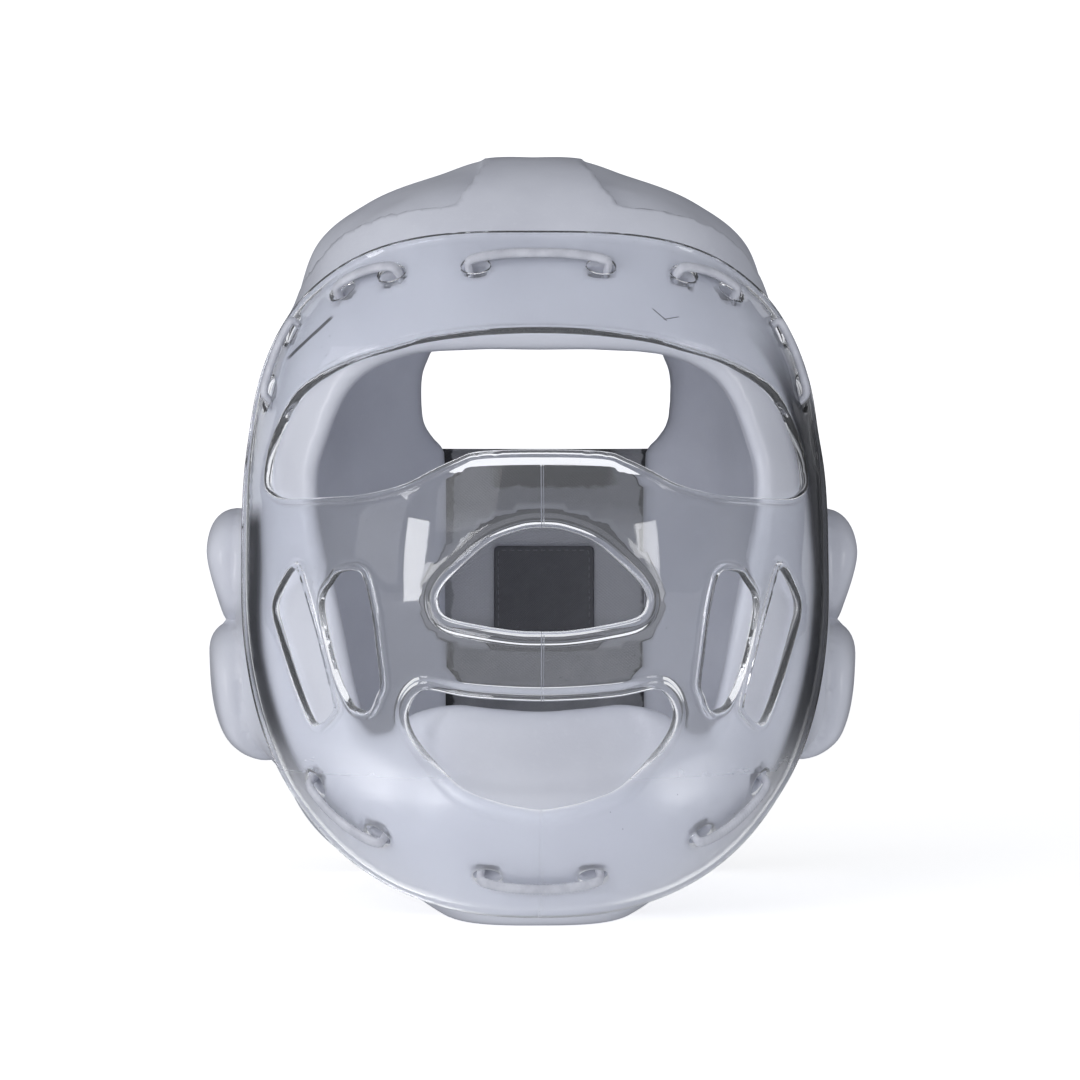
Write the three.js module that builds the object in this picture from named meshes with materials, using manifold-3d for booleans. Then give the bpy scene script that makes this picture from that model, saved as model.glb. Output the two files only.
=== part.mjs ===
// Sparring headgear with a clear face shield, resting on its chin pad and its nape.
// Millimetres, +Z up. The face looks towards -Y, so a forward distance counts along -Y.
// A padded one-piece shell carries a domed shield on eight cord stitches, and a soft
// panel closes its rear opening.
import * as THREE from "three";
import { mergeVertices } from "three/addons/utils/BufferGeometryUtils.js";
import Module from "manifold-3d";

const wasm = await Module();
wasm.setup();

// Padded shell
const shellHalfWidth = 106;
const shellReach = 118; // from the shell's middle forward to the chin, and back to the nape
const middleHeight = 120; // from the floor to the shell's middle, which other heights follow
const crownRise = 148; // from the middle to the crown
const padWall = 18;
const neckHalfWidth = 76;
const neckFront = 60;
const neckBack = 94;
const skinSquareness = 0.7; // how much boxier than an ellipse the shell is at mid height

// Openings of the shell
const faceHalfWidth = 75;
const faceBottom = middleHeight - 54.5;
const faceTop = middleHeight + 74.3;
const rearHalfWidth = 49;
const rearTop = middleHeight + 90.7;
const closureShift = 8; // the rear fastening sits this far towards the wearer's left
const sideEdgeHeight = 52;
const archFront = 58;
const archBack = 78;
const earHoleLength = 34;
const earHoleHeight = 22;
const earHoleForward = -6;
const earHoleUp = middleHeight - 17;

// Relief of the shell
const upperLobeRise = 12;
const lowerLobeRise = 9;
const lobeStep = 4;
const lobeEdge = 5;
const lobeSquareness = 2.8;
const lobePoints = 14;
const lobeOverlap = 1; // each lobe reaches this far past the ear hole's middle
const upperLobeLength = 88;
const upperLobeHeight = 39.5;
const upperLobeForward = -14;
const lowerLobeLength = 92;
const lowerLobeHeight = 52.5;
const lowerLobeForward = 2;
const crownRecess = 4;
const crownFadeFrom = 0.05; // shares of the reach between which the recess deepens
const crownFadeTo = 0.4;
const chinRecess = 3;
const chinRecessHalfWidth = 38;
const chinRecessHeight = 32;
const chinRecessUp = middleHeight - 58;
const chinRecessSquareness = 2.6;

// Clear shield
const shieldWall = 2.2;
const seatGap = 0.45;
const rimHalfWidth = 101.8;
const rimHalfHeight = 115.2;
const rimMiddle = middleHeight - 0.4;
const rimUpperSquareness = 3.2;
const rimLowerSquareness = 2.35;
const domeHalfWidth = 97;
const domeReach = 118;
const domeHalfHeight = 122.7;
const domeForward = 20;
const domeMiddle = middleHeight - 5;
const domeBlend = 8;
const beadWidth = 4.4;
const beadRise = 1.7;
const sheetSink = 1; // how far the shield's sheet starts inside the skin before it is cut

// Openings of the shield
const eyeHalfWidth = 92.3;
const eyeBottom = middleHeight + 24.3;
const eyeTop = middleHeight + 79.6;
const noseHalfWidth = 33.8;
const noseBottom = middleHeight - 19.6;
const noseTop = middleHeight + 13.9;
const mouthHalfWidth = 43.6;
const mouthBottom = middleHeight - 79.1;
const mouthTop = middleHeight - 39;
const outerVentNear = 69;
const outerVentWidth = 20;
const outerVentBottom = middleHeight - 52.3;
const outerVentHeight = 52;
const innerVentNear = 53;
const innerVentWidth = 19.3;
const innerVentBottom = middleHeight - 46.5;
const innerVentHeight = 46.3;

// Cord stitches
const cordWidth = 4;
const cordThickness = 2.6;
const cordClearance = 0.35;
const cordHoleLength = 10;
const cordHoleWidth = 5.6;
const cordLegDepth = 7;
const cordBow = 3;

// Rear panel and its patch
const panelWall = 3.4;
const panelGap = 0.4;
const panelHalfWidth = 57;
const panelBottom = middleHeight - 82;
const panelTop = middleHeight + 46;
const panelCorner = 9;
const patchWidth = 40;
const patchHeight = 36;
const patchMiddle = middleHeight - 10.4;
const patchWall = 0.8;

// Shell profile seen from its middle: the latitude in degrees, then the distance to the
// skin forward, sideways, towards the nape's corners and backward as shares of the
// shell's own sizes.
const skinRows = [
  { latitude: -90, front: 0.84, side: 0.7, nape: 0.8, back: 0.84 },
  { latitude: -65, front: 0.93, side: 0.757, nape: 1.05, back: 0.98 },
  { latitude: -45, front: 1.143, side: 0.805, nape: 1.3, back: 1.2 },
  { latitude: -36, front: 1.158, side: 0.952, nape: 1.2, back: 1.17 },
  { latitude: -27, front: 1.124, side: 0.985, nape: 1.1, back: 1.055 },
  { latitude: -20, front: 0.965, side: 1.06, nape: 1.06, back: 1.02 },
  { latitude: -10, front: 0.895, side: 1.03, nape: 1.03, back: 0.985 },
  { latitude: 0, front: 0.88, side: 1, nape: 1, back: 0.975 },
  { latitude: 12, front: 0.9, side: 0.999, nape: 0.999, back: 0.985 },
  { latitude: 18, front: 0.92, side: 0.995, nape: 0.995, back: 0.992 },
  { latitude: 24, front: 0.945, side: 1.019, nape: 1.019, back: 1 },
  { latitude: 32, front: 0.982, side: 1.032, nape: 1.032, back: 1.015 },
  { latitude: 38, front: 1.005, side: 1.033, nape: 1.033, back: 1.03 },
  { latitude: 47, front: 1.035, side: 1.08, nape: 1.08, back: 1.028 },
  { latitude: 57, front: 1.048, side: 1.055, nape: 1.055, back: 1.018 },
  { latitude: 70, front: 1.033, side: 1.012, nape: 1.012, back: 1.008 },
  { latitude: 80, front: 1.012, side: 1.012, nape: 1.012, back: 1.003 },
  { latitude: 90, front: 1, side: 1, nape: 1, back: 1 },
];

// Half outlines, from the bottom centre round to the top centre: shares of an opening's
// half width, and of its height above its bottom.
const eyeRows = [
  [0, 0.275], [0.221, 0.264], [0.39, 0.154], [0.52, 0.055], [0.72, 0.004],
  [0.92, 0], [0.99, 0.06], [0.978, 0.335], [0.91, 0.57], [0.79, 0.755],
  [0.6, 0.877], [0.32, 0.973], [0, 1],
];
const noseRows = [
  [0, 0], [0.5, 0.03], [0.917, 0.137], [1, 0.287], [0.947, 0.448],
  [0.74, 0.663], [0.42, 0.905], [0, 1],
];
const mouthRows = [
  [0, 0], [0.3, 0.055], [0.6, 0.18], [0.85, 0.43], [0.98, 0.65],
  [1, 0.8], [0.94, 0.953], [0.849, 1], [0.5, 0.94], [0, 0.915],
];
const faceRows = [
  [0, 0.055], [0.2, 0.062], [0.38, 0.071], [0.55, 0.05], [0.68, 0],
  [0.787, 0.043], [0.907, 0.345], [1, 0.63], [0.957, 0.773], [0.829, 0.917],
  [0.6, 0.985], [0.3, 1], [0, 1],
];
const rearRows = [
  [0, -0.05], [0.78, -0.05], [0.806, 0.3], [0.816, 0.778], [0.918, 0.812],
  [0.99, 0.845], [1, 0.916], [0.878, 0.973], [0.61, 0.997], [0, 1],
];

// Whole outlines of one side's vents: shares of the width outward and of the height.
const outerVentRows = [
  [0.715, 1], [0.56, 0.96], [0.3, 0.627], [0.13, 0.376], [0, 0.14],
  [0.27, 0], [0.58, 0.224], [0.92, 0.618], [1, 0.735], [0.95, 0.84],
];
const innerVentRows = [
  [0.715, 0.978], [0.518, 1], [0.3, 0.965], [0.135, 0.682], [0, 0.199],
  [0.15, 0.02], [0.45, 0.01], [0.725, 0.229], [0.896, 0.488], [1, 0.711],
  [0.94, 0.87],
];

// The recessed crown panel of one side: shares of the half width, of the reach forward and
// of the crown's rise above the middle.
const crownRows = [
  [0.27, 0.6, 0.849], [0.399, 0.577, 0.84], [0.548, 0.515, 0.817], [0.651, 0.44, 0.782],
  [0.737, 0.343, 0.72], [0.9, 0.06, 0.66], [0.72, -0.2, 0.8], [0.4, -0.3, 0.92],
  [0.17, -0.25, 0.985], [0.171, 0.365, 0.965], [0.217, 0.518, 0.907],
];

// Ends of the stitches at the shield: shares of the rim's half width, and of its half
// height above the rim's middle.
const cordRows = [
  { name: "cord_top", from: [-0.233, 0.897], to: [0.233, 0.897], mirrored: false },
  { name: "cord_brow", from: [0.468, 0.883], to: [0.673, 0.826], mirrored: true },
  { name: "cord_temple", from: [0.817, 0.745], to: [0.915, 0.516], mirrored: true },
  { name: "cord_jaw", from: [0.754, -0.613], to: [0.512, -0.776], mirrored: true },
  { name: "cord_chin", from: [-0.196, -0.878], to: [0.196, -0.878], mirrored: false },
];

const middle = new THREE.Vector3(0, 0, middleHeight);
const farShare = 4; // how far past the skin a cutting cone reaches
const below = 40; // how far cutters reach past the floor
const beyond = 160; // how far cutters reach past the skin

// One column of the skin table at a latitude, as a smooth curve through its rows.
function skinShare(column, latitude) {
  const last = skinRows.length - 1;
  let i = 0;
  while (i < last - 1 && skinRows[i + 1].latitude < latitude) i++;
  const slope = (k) => {
    if (k === 0 || k === last) return 0;
    const [a, b] = [skinRows[k - 1], skinRows[k + 1]];
    return (b[column] - a[column]) / (b.latitude - a.latitude);
  };
  const [a, b] = [skinRows[i], skinRows[i + 1]];
  const step = b.latitude - a.latitude;
  const t = THREE.MathUtils.clamp((latitude - a.latitude) / step, 0, 1);
  return (
    (2 * t ** 3 - 3 * t ** 2 + 1) * a[column] +
    (t ** 3 - 2 * t ** 2 + t) * step * slope(i) +
    (3 * t ** 2 - 2 * t ** 3) * b[column] +
    (t ** 3 - t ** 2) * step * slope(i + 1)
  );
}

// Distance from the middle to the shell's skin along a unit direction.
function skinRadius(way) {
  const scaled = new THREE.Vector3(
    way.x / shellHalfWidth,
    -way.y / shellReach,
    way.z / crownRise,
  );
  const level = Math.hypot(scaled.x, scaled.y);
  const latitude = THREE.MathUtils.radToDeg(Math.atan2(scaled.z, level));
  if (level < 1e-6) return skinShare("front", latitude) / scaled.length();
  const power = 2 + skinSquareness * Math.cos(Math.atan2(scaled.z, level)) ** 2;
  const along = skinShare(scaled.y >= 0 ? "front" : "back", latitude);
  const corner = scaled.y < 0 ? (scaled.y / level) ** 2 : 0;
  const across = THREE.MathUtils.lerp(
    skinShare("side", latitude),
    skinShare("nape", latitude),
    corner,
  );
  const sum =
    (Math.abs(scaled.y) / level / along) ** power +
    (Math.abs(scaled.x) / level / across) ** power;
  return sum ** (-1 / power) / scaled.length();
}

// Distance to the inside of the padding, which opens downward into the neck.
function hollowRadius(way) {
  const inside = skinRadius(way) - padWall;
  if (way.z >= 0) return inside;
  const depth = way.y < 0 ? neckFront : neckBack;
  const neck = 1 / Math.max(Math.hypot(way.x / neckHalfWidth, way.y / depth), 1e-6);
  return Math.max(inside, Math.min(neck, (middleHeight + below) / -way.z));
}

// Distance to the ellipsoid that the shield's dome follows.
function domeRadius(way) {
  const size = new THREE.Vector3(domeHalfWidth, domeReach, domeHalfHeight);
  const start = middle.clone().sub(new THREE.Vector3(0, -domeForward, domeMiddle)).divide(size);
  const ray = way.clone().divide(size);
  const a = ray.lengthSq();
  const b = start.dot(ray);
  return (-b + Math.sqrt(b * b - a * (start.lengthSq() - 1))) / a;
}

// The larger of two distances, blended where they are nearly equal.
function blendedMax(a, b, blend) {
  const overlap = Math.max(0, blend - Math.abs(a - b));
  return Math.max(a, b) + overlap ** 2 / (4 * blend);
}

// Distance to the shield's outer face: its flange hugs the skin, its dome stands off.
function shieldRadius(way) {
  return blendedMax(skinRadius(way) + seatGap, domeRadius(way), domeBlend) + shieldWall;
}

// A closed solid from positions and triangles, turned to face outward.
function closedSolid(points, triangles) {
  const volume = triangles.reduce((sum, [i, j, k]) => {
    const normal = points[j].clone().cross(points[k]);
    return sum + points[i].dot(normal);
  }, 0);
  const order = triangles.map(([i, j, k]) => (volume < 0 ? [i, k, j] : [i, j, k]));
  return new wasm.Manifold(
    new wasm.Mesh({
      numProp: 3,
      vertProperties: new Float32Array(points.flatMap((p) => p.toArray())),
      triVerts: new Uint32Array(order.flat()),
    }),
  );
}

function meshOf(solid) {
  const { vertProperties, triVerts } = solid.getMesh();
  const geometry = new THREE.BufferGeometry();
  geometry.setAttribute("position", new THREE.BufferAttribute(vertProperties, 3));
  geometry.setIndex(new THREE.BufferAttribute(triVerts, 1));
  return new THREE.Mesh(geometry);
}

function solidOf(geometry) {
  const bare = geometry.clone();
  bare.deleteAttribute("normal");
  bare.deleteAttribute("uv");
  const merged = mergeVertices(bare, 1e-4);
  return new wasm.Manifold(
    new wasm.Mesh({
      numProp: 3,
      vertProperties: new Float32Array(merged.getAttribute("position").array),
      triVerts: new Uint32Array(merged.getIndex().array),
    }),
  );
}

const direction = (turn, latitude) =>
  new THREE.Vector3(
    Math.cos(latitude) * Math.sin(turn),
    -Math.cos(latitude) * Math.cos(turn),
    Math.sin(latitude),
  );

const onSurface = (way, radiusOf, extra = 0) =>
  way.clone().multiplyScalar(radiusOf(way) + extra).add(middle);

// A solid round the middle whose skin is a distance for each direction.
function starSolid(radiusOf, extra, around, bands) {
  const points = [onSurface(direction(0, -Math.PI / 2), radiusOf, extra)];
  const triangles = [];
  for (let band = 1; band < bands; band++) {
    const latitude = (band / bands - 0.5) * Math.PI;
    for (let i = 0; i < around; i++)
      points.push(onSurface(direction((2 * Math.PI * i) / around, latitude), radiusOf, extra));
  }
  points.push(onSurface(direction(0, Math.PI / 2), radiusOf, extra));
  const top = points.length - 1;
  for (let i = 0; i < around; i++) {
    const next = (i + 1) % around;
    triangles.push([0, 1 + next, 1 + i]);
    triangles.push([top, top - around + i, top - around + next]);
    for (let band = 0; band < bands - 2; band++) {
      const [low, high] = [1 + band * around, 1 + (band + 1) * around];
      triangles.push([low + i, low + next, high + next], [low + i, high + next, high + i]);
    }
  }
  return closedSolid(points, triangles);
}

// A cone from the middle out through a closed outline, for cuts square to the skin.
function coneSolid(outline) {
  const rays = outline.map((p) => p.clone().sub(middle));
  const axis = rays.reduce((sum, ray) => sum.add(ray.clone().normalize()), new THREE.Vector3());
  const turned = new THREE.Quaternion().setFromUnitVectors(
    axis.normalize(),
    new THREE.Vector3(0, 0, 1),
  );
  const flat = rays.map((ray) => {
    const p = ray.clone().applyQuaternion(turned);
    return new THREE.Vector2(p.x, p.y);
  });
  if (THREE.ShapeUtils.isClockWise(flat)) {
    flat.reverse();
    rays.reverse();
  }
  const points = rays.map((ray) => ray.clone().multiplyScalar(farShare).add(middle));
  const triangles = THREE.ShapeUtils.triangulateShape(flat, []);
  points.push(middle.clone());
  rays.forEach((_, i) => triangles.push([points.length - 1, (i + 1) % rays.length, i]));
  return closedSolid(points, triangles);
}

// The point of a surface that is seen from the front at (x, z).
function frontPoint(x, z, radiusOf) {
  let [near, far] = [0, shellReach + domeReach];
  for (let step = 0; step < 40; step++) {
    const forward = (near + far) / 2;
    const ray = new THREE.Vector3(x, -forward, z - middleHeight);
    const size = ray.length();
    if (size > radiusOf(ray.normalize())) far = forward;
    else near = forward;
  }
  return new THREE.Vector3(x, -near, z);
}

// The point of the skin that is seen from one side at (forward, z).
function sidePoint(side, forward, z) {
  let [near, far] = [0, 2 * shellHalfWidth];
  for (let step = 0; step < 40; step++) {
    const out = (near + far) / 2;
    const ray = new THREE.Vector3(side * out, -forward, z - middleHeight);
    const size = ray.length();
    if (size > skinRadius(ray.normalize())) far = out;
    else near = out;
  }
  return new THREE.Vector3(side * near, -forward, z);
}

// A half outline's shares as a whole outline of [x, z] in millimetres.
function mirroredOutline(rows, halfWidth, bottom, top) {
  const half = rows.map(([x, z]) => [x * halfWidth, bottom + z * (top - bottom)]);
  const other = half.slice(1, -1).reverse();
  return [...half, ...other.map(([x, z]) => [-x, z])];
}

function ventOutline(rows, near, width, bottom, height, side) {
  return rows.map(([x, z]) => [side * (near + x * width), bottom + z * height]);
}

const lifted = (outline, radiusOf) => outline.map(([x, z]) => frontPoint(x, z, radiusOf));

// An outline on a surface, moved outward along the surface.
function grownOutline(outline, width) {
  const centre = outline
    .reduce((sum, p) => sum.add(p), new THREE.Vector3())
    .divideScalar(outline.length);
  return outline.map((p, i) => {
    const before = outline[(i + outline.length - 1) % outline.length];
    const after = outline[(i + 1) % outline.length];
    const outward = after.clone().sub(before).cross(p.clone().sub(middle)).normalize();
    const turn = outward.dot(p.clone().sub(centre)) < 0 ? -1 : 1;
    return p.clone().addScaledVector(outward, turn * width);
  });
}

// An outline of [x, z] pushed through the part from front to back.
function frontPrism(outline, fromForward, toForward) {
  const shape = new THREE.Shape(outline.map(([x, z]) => new THREE.Vector2(x, z)));
  const depth = toForward - fromForward;
  const prism = new THREE.ExtrudeGeometry(shape, { depth, bevelEnabled: false });
  return solidOf(prism.rotateX(Math.PI / 2).translate(0, -fromForward, 0));
}

// An outline of [forward, z] pushed through the part from side to side.
function sidePrism(outline) {
  const shape = new THREE.Shape(outline.map(([f, z]) => new THREE.Vector2(f, z)));
  const prism = new THREE.ExtrudeGeometry(shape, { depth: 2 * beyond, bevelEnabled: false });
  const across = new THREE.Matrix4().makeBasis(
    new THREE.Vector3(0, -1, 0),
    new THREE.Vector3(0, 0, 1),
    new THREE.Vector3(-1, 0, 0),
  );
  return solidOf(prism.applyMatrix4(across).translate(beyond, 0, 0));
}

function ovalOutline(centreX, centreZ, halfX, halfZ, count, squareness = 2) {
  return Array.from({ length: count }, (_, i) => {
    const turn = (2 * Math.PI * i) / count;
    const [c, s] = [Math.cos(turn), Math.sin(turn)];
    const power = 2 / squareness;
    return [
      centreX + halfX * Math.sign(c) * Math.abs(c) ** power,
      centreZ + halfZ * Math.sign(s) * Math.abs(s) ** power,
    ];
  });
}

const skinAround = 40;
const skinBands = 20;
const hollowAround = 28;
const hollowBands = 16;
const skinSolid = (extra) => starSolid(skinRadius, extra, skinAround, skinBands);

// What stands proud of the skin by a rise, inside an outline on it.
const raisedPatch = (outline, rise) =>
  starSolid(skinRadius, rise, skinAround, skinBands).intersect(coneSolid(outline));

// What a shallow recess takes away, inside an outline on the skin.
const recessCut = (outline, depthOf) =>
  coneSolid(outline).subtract(
    starSolid((way) => skinRadius(way) - depthOf(way), 0, skinAround, skinBands),
  );

// The two lobes of one ear guard, each in two steps.
function earGuard(side) {
  const upperMiddle = earHoleUp + upperLobeHeight / 2 - lobeOverlap;
  const lowerMiddle = earHoleUp - lowerLobeHeight / 2 + lobeOverlap;
  const lobes = [
    [upperLobeForward, upperMiddle, upperLobeLength, upperLobeHeight, upperLobeRise],
    [lowerLobeForward, lowerMiddle, lowerLobeLength, lowerLobeHeight, lowerLobeRise],
  ];
  return lobes.flatMap(([forward, up, length, height, rise]) =>
    [0, lobeEdge].map((inset) => {
      const [halfX, halfZ] = [length / 2 - inset, height / 2 - inset];
      const flat = ovalOutline(forward, up, halfX, halfZ, lobePoints, lobeSquareness);
      const outline = flat.map(([f, z]) => sidePoint(side, f, z));
      return raisedPatch(outline, inset ? rise : rise - lobeStep);
    }),
  );
}

// The recess of one crown panel, which runs out towards the back.
function crownCut(side) {
  const outline = crownRows.map(([x, forward, up]) =>
    new THREE.Vector3(
      side * x * shellHalfWidth,
      -forward * shellReach,
      middleHeight + up * crownRise,
    ),
  );
  return recessCut(outline, (way) => {
    const forward = (-way.y * skinRadius(way)) / shellReach;
    return crownRecess * THREE.MathUtils.smoothstep(forward, crownFadeFrom, crownFadeTo);
  });
}

function chinCut() {
  const halfHeight = chinRecessHeight / 2;
  const flat = ovalOutline(
    0, chinRecessUp, chinRecessHalfWidth, halfHeight, 20, chinRecessSquareness,
  );
  return recessCut(lifted(flat, skinRadius), () => chinRecess);
}

// Ends of one stitch on the shield's outer face.
function cordEnds(row, side) {
  return [row.from, row.to].map(([x, z]) =>
    frontPoint(side * x * rimHalfWidth, rimMiddle + z * rimHalfHeight, shieldRadius),
  );
}

const cords = cordRows.flatMap((row) => {
  const sides = row.mirrored ? [-1, 1] : [1];
  return sides.map((side) => {
    const name = row.mirrored ? row.name + (side < 0 ? "_left" : "_right") : row.name;
    return { name, ends: cordEnds(row, side) };
  });
});

// The oval hole that one end of a stitch goes down.
function cordHole(end, partner) {
  const way = end.clone().sub(middle).normalize();
  const across = way.clone().cross(partner.clone().sub(end)).normalize();
  const along = across.clone().cross(way);
  const centre = end.clone().addScaledVector(along, cordHoleLength / 2 - cordThickness);
  const oval = ovalOutline(0, 0, cordHoleLength / 2, cordHoleWidth / 2, 8);
  return coneSolid(
    oval.map(([a, b]) => centre.clone().addScaledVector(along, a).addScaledVector(across, b)),
  );
}

const cordHoles = cords.flatMap(({ ends: [a, b] }) => [cordHole(a, b), cordHole(b, a)]);

function foamShell() {
  const arch = [
    [archFront, -below],
    [archFront, 0],
    [archFront * 0.62, sideEdgeHeight * 0.84],
    [archFront * 0.3, sideEdgeHeight],
    [-archBack * 0.35, sideEdgeHeight * 0.94],
    [-archBack * 0.72, sideEdgeHeight * 0.5],
    [-archBack, 0],
    [-archBack, -below],
  ];
  const face = mirroredOutline(faceRows, faceHalfWidth, faceBottom, faceTop);
  const rear = mirroredOutline(rearRows, rearHalfWidth, 0, rearTop);
  const shiftedRear = rear.map(([x, z]) => [x + closureShift, z]);
  const earHole = ovalOutline(earHoleForward, earHoleUp, earHoleLength / 2, earHoleHeight / 2, 20);
  const floor = new THREE.BoxGeometry(2 * beyond, 2 * beyond, 2 * below);
  const blindHoles = starSolid(skinRadius, -cordLegDepth, skinAround, skinBands);
  return wasm.Manifold.union([skinSolid(0), ...earGuard(-1), ...earGuard(1)])
    .subtract(starSolid(hollowRadius, 0, hollowAround, hollowBands))
    .subtract(wasm.Manifold.union([crownCut(-1), crownCut(1), chinCut()]))
    .subtract(wasm.Manifold.union(cordHoles).subtract(blindHoles))
    .subtract(frontPrism(face, 0, beyond))
    .subtract(frontPrism(shiftedRear, -beyond, 0))
    .subtract(sidePrism(arch))
    .subtract(sidePrism(earHole))
    .subtract(solidOf(floor.translate(0, 0, -below)));
}

// The angle from the forward axis at which the shield ends, in one turn round that axis.
function rimAngle(turn) {
  let [near, far] = [0.3, 0.62 * Math.PI];
  for (let step = 0; step < 30; step++) {
    const angle = (near + far) / 2;
    const p = onSurface(shieldWay(turn, angle), shieldRadius);
    const up = (p.z - rimMiddle) / rimHalfHeight;
    const power = up > 0 ? rimUpperSquareness : rimLowerSquareness;
    const inside = Math.abs(p.x / rimHalfWidth) ** power + Math.abs(up) ** power < 1;
    if (inside) near = angle;
    else far = angle;
  }
  return near;
}

const shieldWay = (turn, angle) =>
  new THREE.Vector3(
    Math.sin(angle) * Math.cos(turn),
    -Math.cos(angle),
    Math.sin(angle) * Math.sin(turn),
  );

const shieldAround = 36;
const shieldRings = 6;

// The shield's sheet between two faces, from its middle out to the rim.
function sheetSolid(outerOf, innerOf) {
  const points = [];
  const triangles = [];
  const faceStart = (face) => face * (1 + shieldAround * shieldRings);
  [outerOf, innerOf].forEach((radiusOf) => {
    points.push(onSurface(shieldWay(0, 0), radiusOf));
    for (let ring = 1; ring <= shieldRings; ring++)
      for (let i = 0; i < shieldAround; i++) {
        const turn = (2 * Math.PI * i) / shieldAround;
        points.push(onSurface(shieldWay(turn, (rimAngle(turn) * ring) / shieldRings), radiusOf));
      }
  });
  const at = (face, ring, i) =>
    faceStart(face) + 1 + (ring - 1) * shieldAround + (i % shieldAround);
  for (let i = 0; i < shieldAround; i++) {
    for (const face of [0, 1]) {
      const turned = (a, b, c) => (face ? [a, c, b] : [a, b, c]);
      triangles.push(turned(faceStart(face), at(face, 1, i), at(face, 1, i + 1)));
      for (let ring = 1; ring < shieldRings; ring++) {
        const [a, b] = [at(face, ring, i), at(face, ring, i + 1)];
        const [c, d] = [at(face, ring + 1, i), at(face, ring + 1, i + 1)];
        triangles.push(turned(a, c, d), turned(a, d, b));
      }
    }
    const [a, b] = [at(0, shieldRings, i), at(0, shieldRings, i + 1)];
    const [c, d] = [at(1, shieldRings, i), at(1, shieldRings, i + 1)];
    triangles.push([a, c, d], [a, d, b]);
  }
  return closedSolid(points, triangles);
}

function shieldOpenings() {
  const vents = [-1, 1].flatMap((side) => [
    ventOutline(
      outerVentRows, outerVentNear, outerVentWidth, outerVentBottom, outerVentHeight, side,
    ),
    ventOutline(
      innerVentRows, innerVentNear, innerVentWidth, innerVentBottom, innerVentHeight, side,
    ),
  ]);
  return [
    mirroredOutline(eyeRows, eyeHalfWidth, eyeBottom, eyeTop),
    mirroredOutline(noseRows, noseHalfWidth, noseBottom, noseTop),
    mirroredOutline(mouthRows, mouthHalfWidth, mouthBottom, mouthTop),
    ...vents,
  ].map((outline) => lifted(outline, shieldRadius));
}

const underShield = (way) =>
  blendedMax(skinRadius(way) - sheetSink, domeRadius(way), domeBlend);

function faceShield() {
  const raised = (way) => shieldRadius(way) + beadRise;
  const openings = shieldOpenings();
  const beads = openings.map((outline) => coneSolid(grownOutline(outline, beadWidth)));
  return sheetSolid(shieldRadius, underShield)
    .add(sheetSolid(raised, underShield).intersect(wasm.Manifold.union(beads)))
    .subtract(wasm.Manifold.union(openings.map(coneSolid)))
    .subtract(wasm.Manifold.union(cordHoles))
    .subtract(skinSolid(seatGap));
}

// The height of the sheet's own facets, which can stand over the smooth form they follow.
const sheetMesh = meshOf(sheetSolid(shieldRadius, underShield));
function facetRadius(way) {
  const [hit] = new THREE.Raycaster(onSurface(way, shieldRadius, beyond), way.clone().negate())
    .intersectObject(sheetMesh);
  return hit ? hit.point.distanceTo(middle) : shieldRadius(way);
}

// The farthest that the shield comes close round a direction, so that a cord over it also
// clears it where it slants.
function slantedRadius(way) {
  const spot = onSurface(way, shieldRadius);
  const spread = [-1, 0, 1].flatMap((x) => [-1, 0, 1].map((z) => [x, z]));
  const radii = spread.map(([x, z]) => {
    const near = spot.clone().add(new THREE.Vector3(x, 0, z).multiplyScalar(cordThickness / 4));
    const nearWay = near.sub(middle).normalize();
    return Math.max(shieldRadius(nearWay), facetRadius(nearWay));
  });
  return Math.max(...radii);
}

// One stitch: a leg in each hole and a bowed stretch over the shield between them.
function cordSolid([a, b]) {
  const rise = cordClearance + cordThickness / 2;
  const spanWay = b.clone().sub(a).normalize();
  const centre = a.clone().add(b).multiplyScalar(0.5).sub(middle);
  const across = centre.clone().normalize().cross(spanWay).normalize();
  const bowWay = new THREE.Vector3(centre.x, 0, centre.z).normalize();
  const path = [];
  const leg = (end, inward) => {
    const way = end.clone().sub(middle).normalize();
    const bottom = onSurface(way, skinRadius, cordThickness / 2 - cordLegDepth);
    const top = onSurface(way, shieldRadius, -cordThickness / 3);
    const bend = onSurface(way, slantedRadius, rise * 0.75);
    return [bottom, top, bend.addScaledVector(inward, cordThickness * 0.3)];
  };
  path.push(...leg(a, spanWay));
  const spans = 4;
  for (let i = 0; i <= spans; i++) {
    const t = 0.1 + (0.8 * i) / spans;
    const p = a.clone().lerp(b, t).addScaledVector(bowWay, 4 * cordBow * t * (1 - t));
    path.push(onSurface(p.sub(middle).normalize(), slantedRadius, rise));
  }
  path.push(...leg(b, spanWay.clone().negate()).reverse());
  const sides = 8;
  const points = [];
  const triangles = [];
  path.forEach((p, k) => {
    const before = path[Math.max(k - 1, 0)];
    const after = path[Math.min(k + 1, path.length - 1)];
    const tangent = after.clone().sub(before).normalize();
    const thick = across.clone().cross(tangent).normalize();
    const wide = tangent.clone().cross(thick);
    for (let i = 0; i < sides; i++) {
      const turn = (2 * Math.PI * (i + 0.5)) / sides;
      points.push(
        p
          .clone()
          .addScaledVector(wide, (cordWidth / 2) * Math.cos(turn))
          .addScaledVector(thick, (cordThickness / 2) * Math.sin(turn)),
      );
    }
  });
  for (let k = 0; k < path.length - 1; k++)
    for (let i = 0; i < sides; i++) {
      const [p, q] = [k * sides + i, k * sides + ((i + 1) % sides)];
      triangles.push([p, q, q + sides], [p, q + sides, p + sides]);
    }
  const end = (path.length - 1) * sides;
  for (let i = 1; i < sides - 1; i++) {
    triangles.push([0, i + 1, i]);
    triangles.push([end, end + i, end + i + 1]);
  }
  return closedSolid(points, triangles);
}

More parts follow.
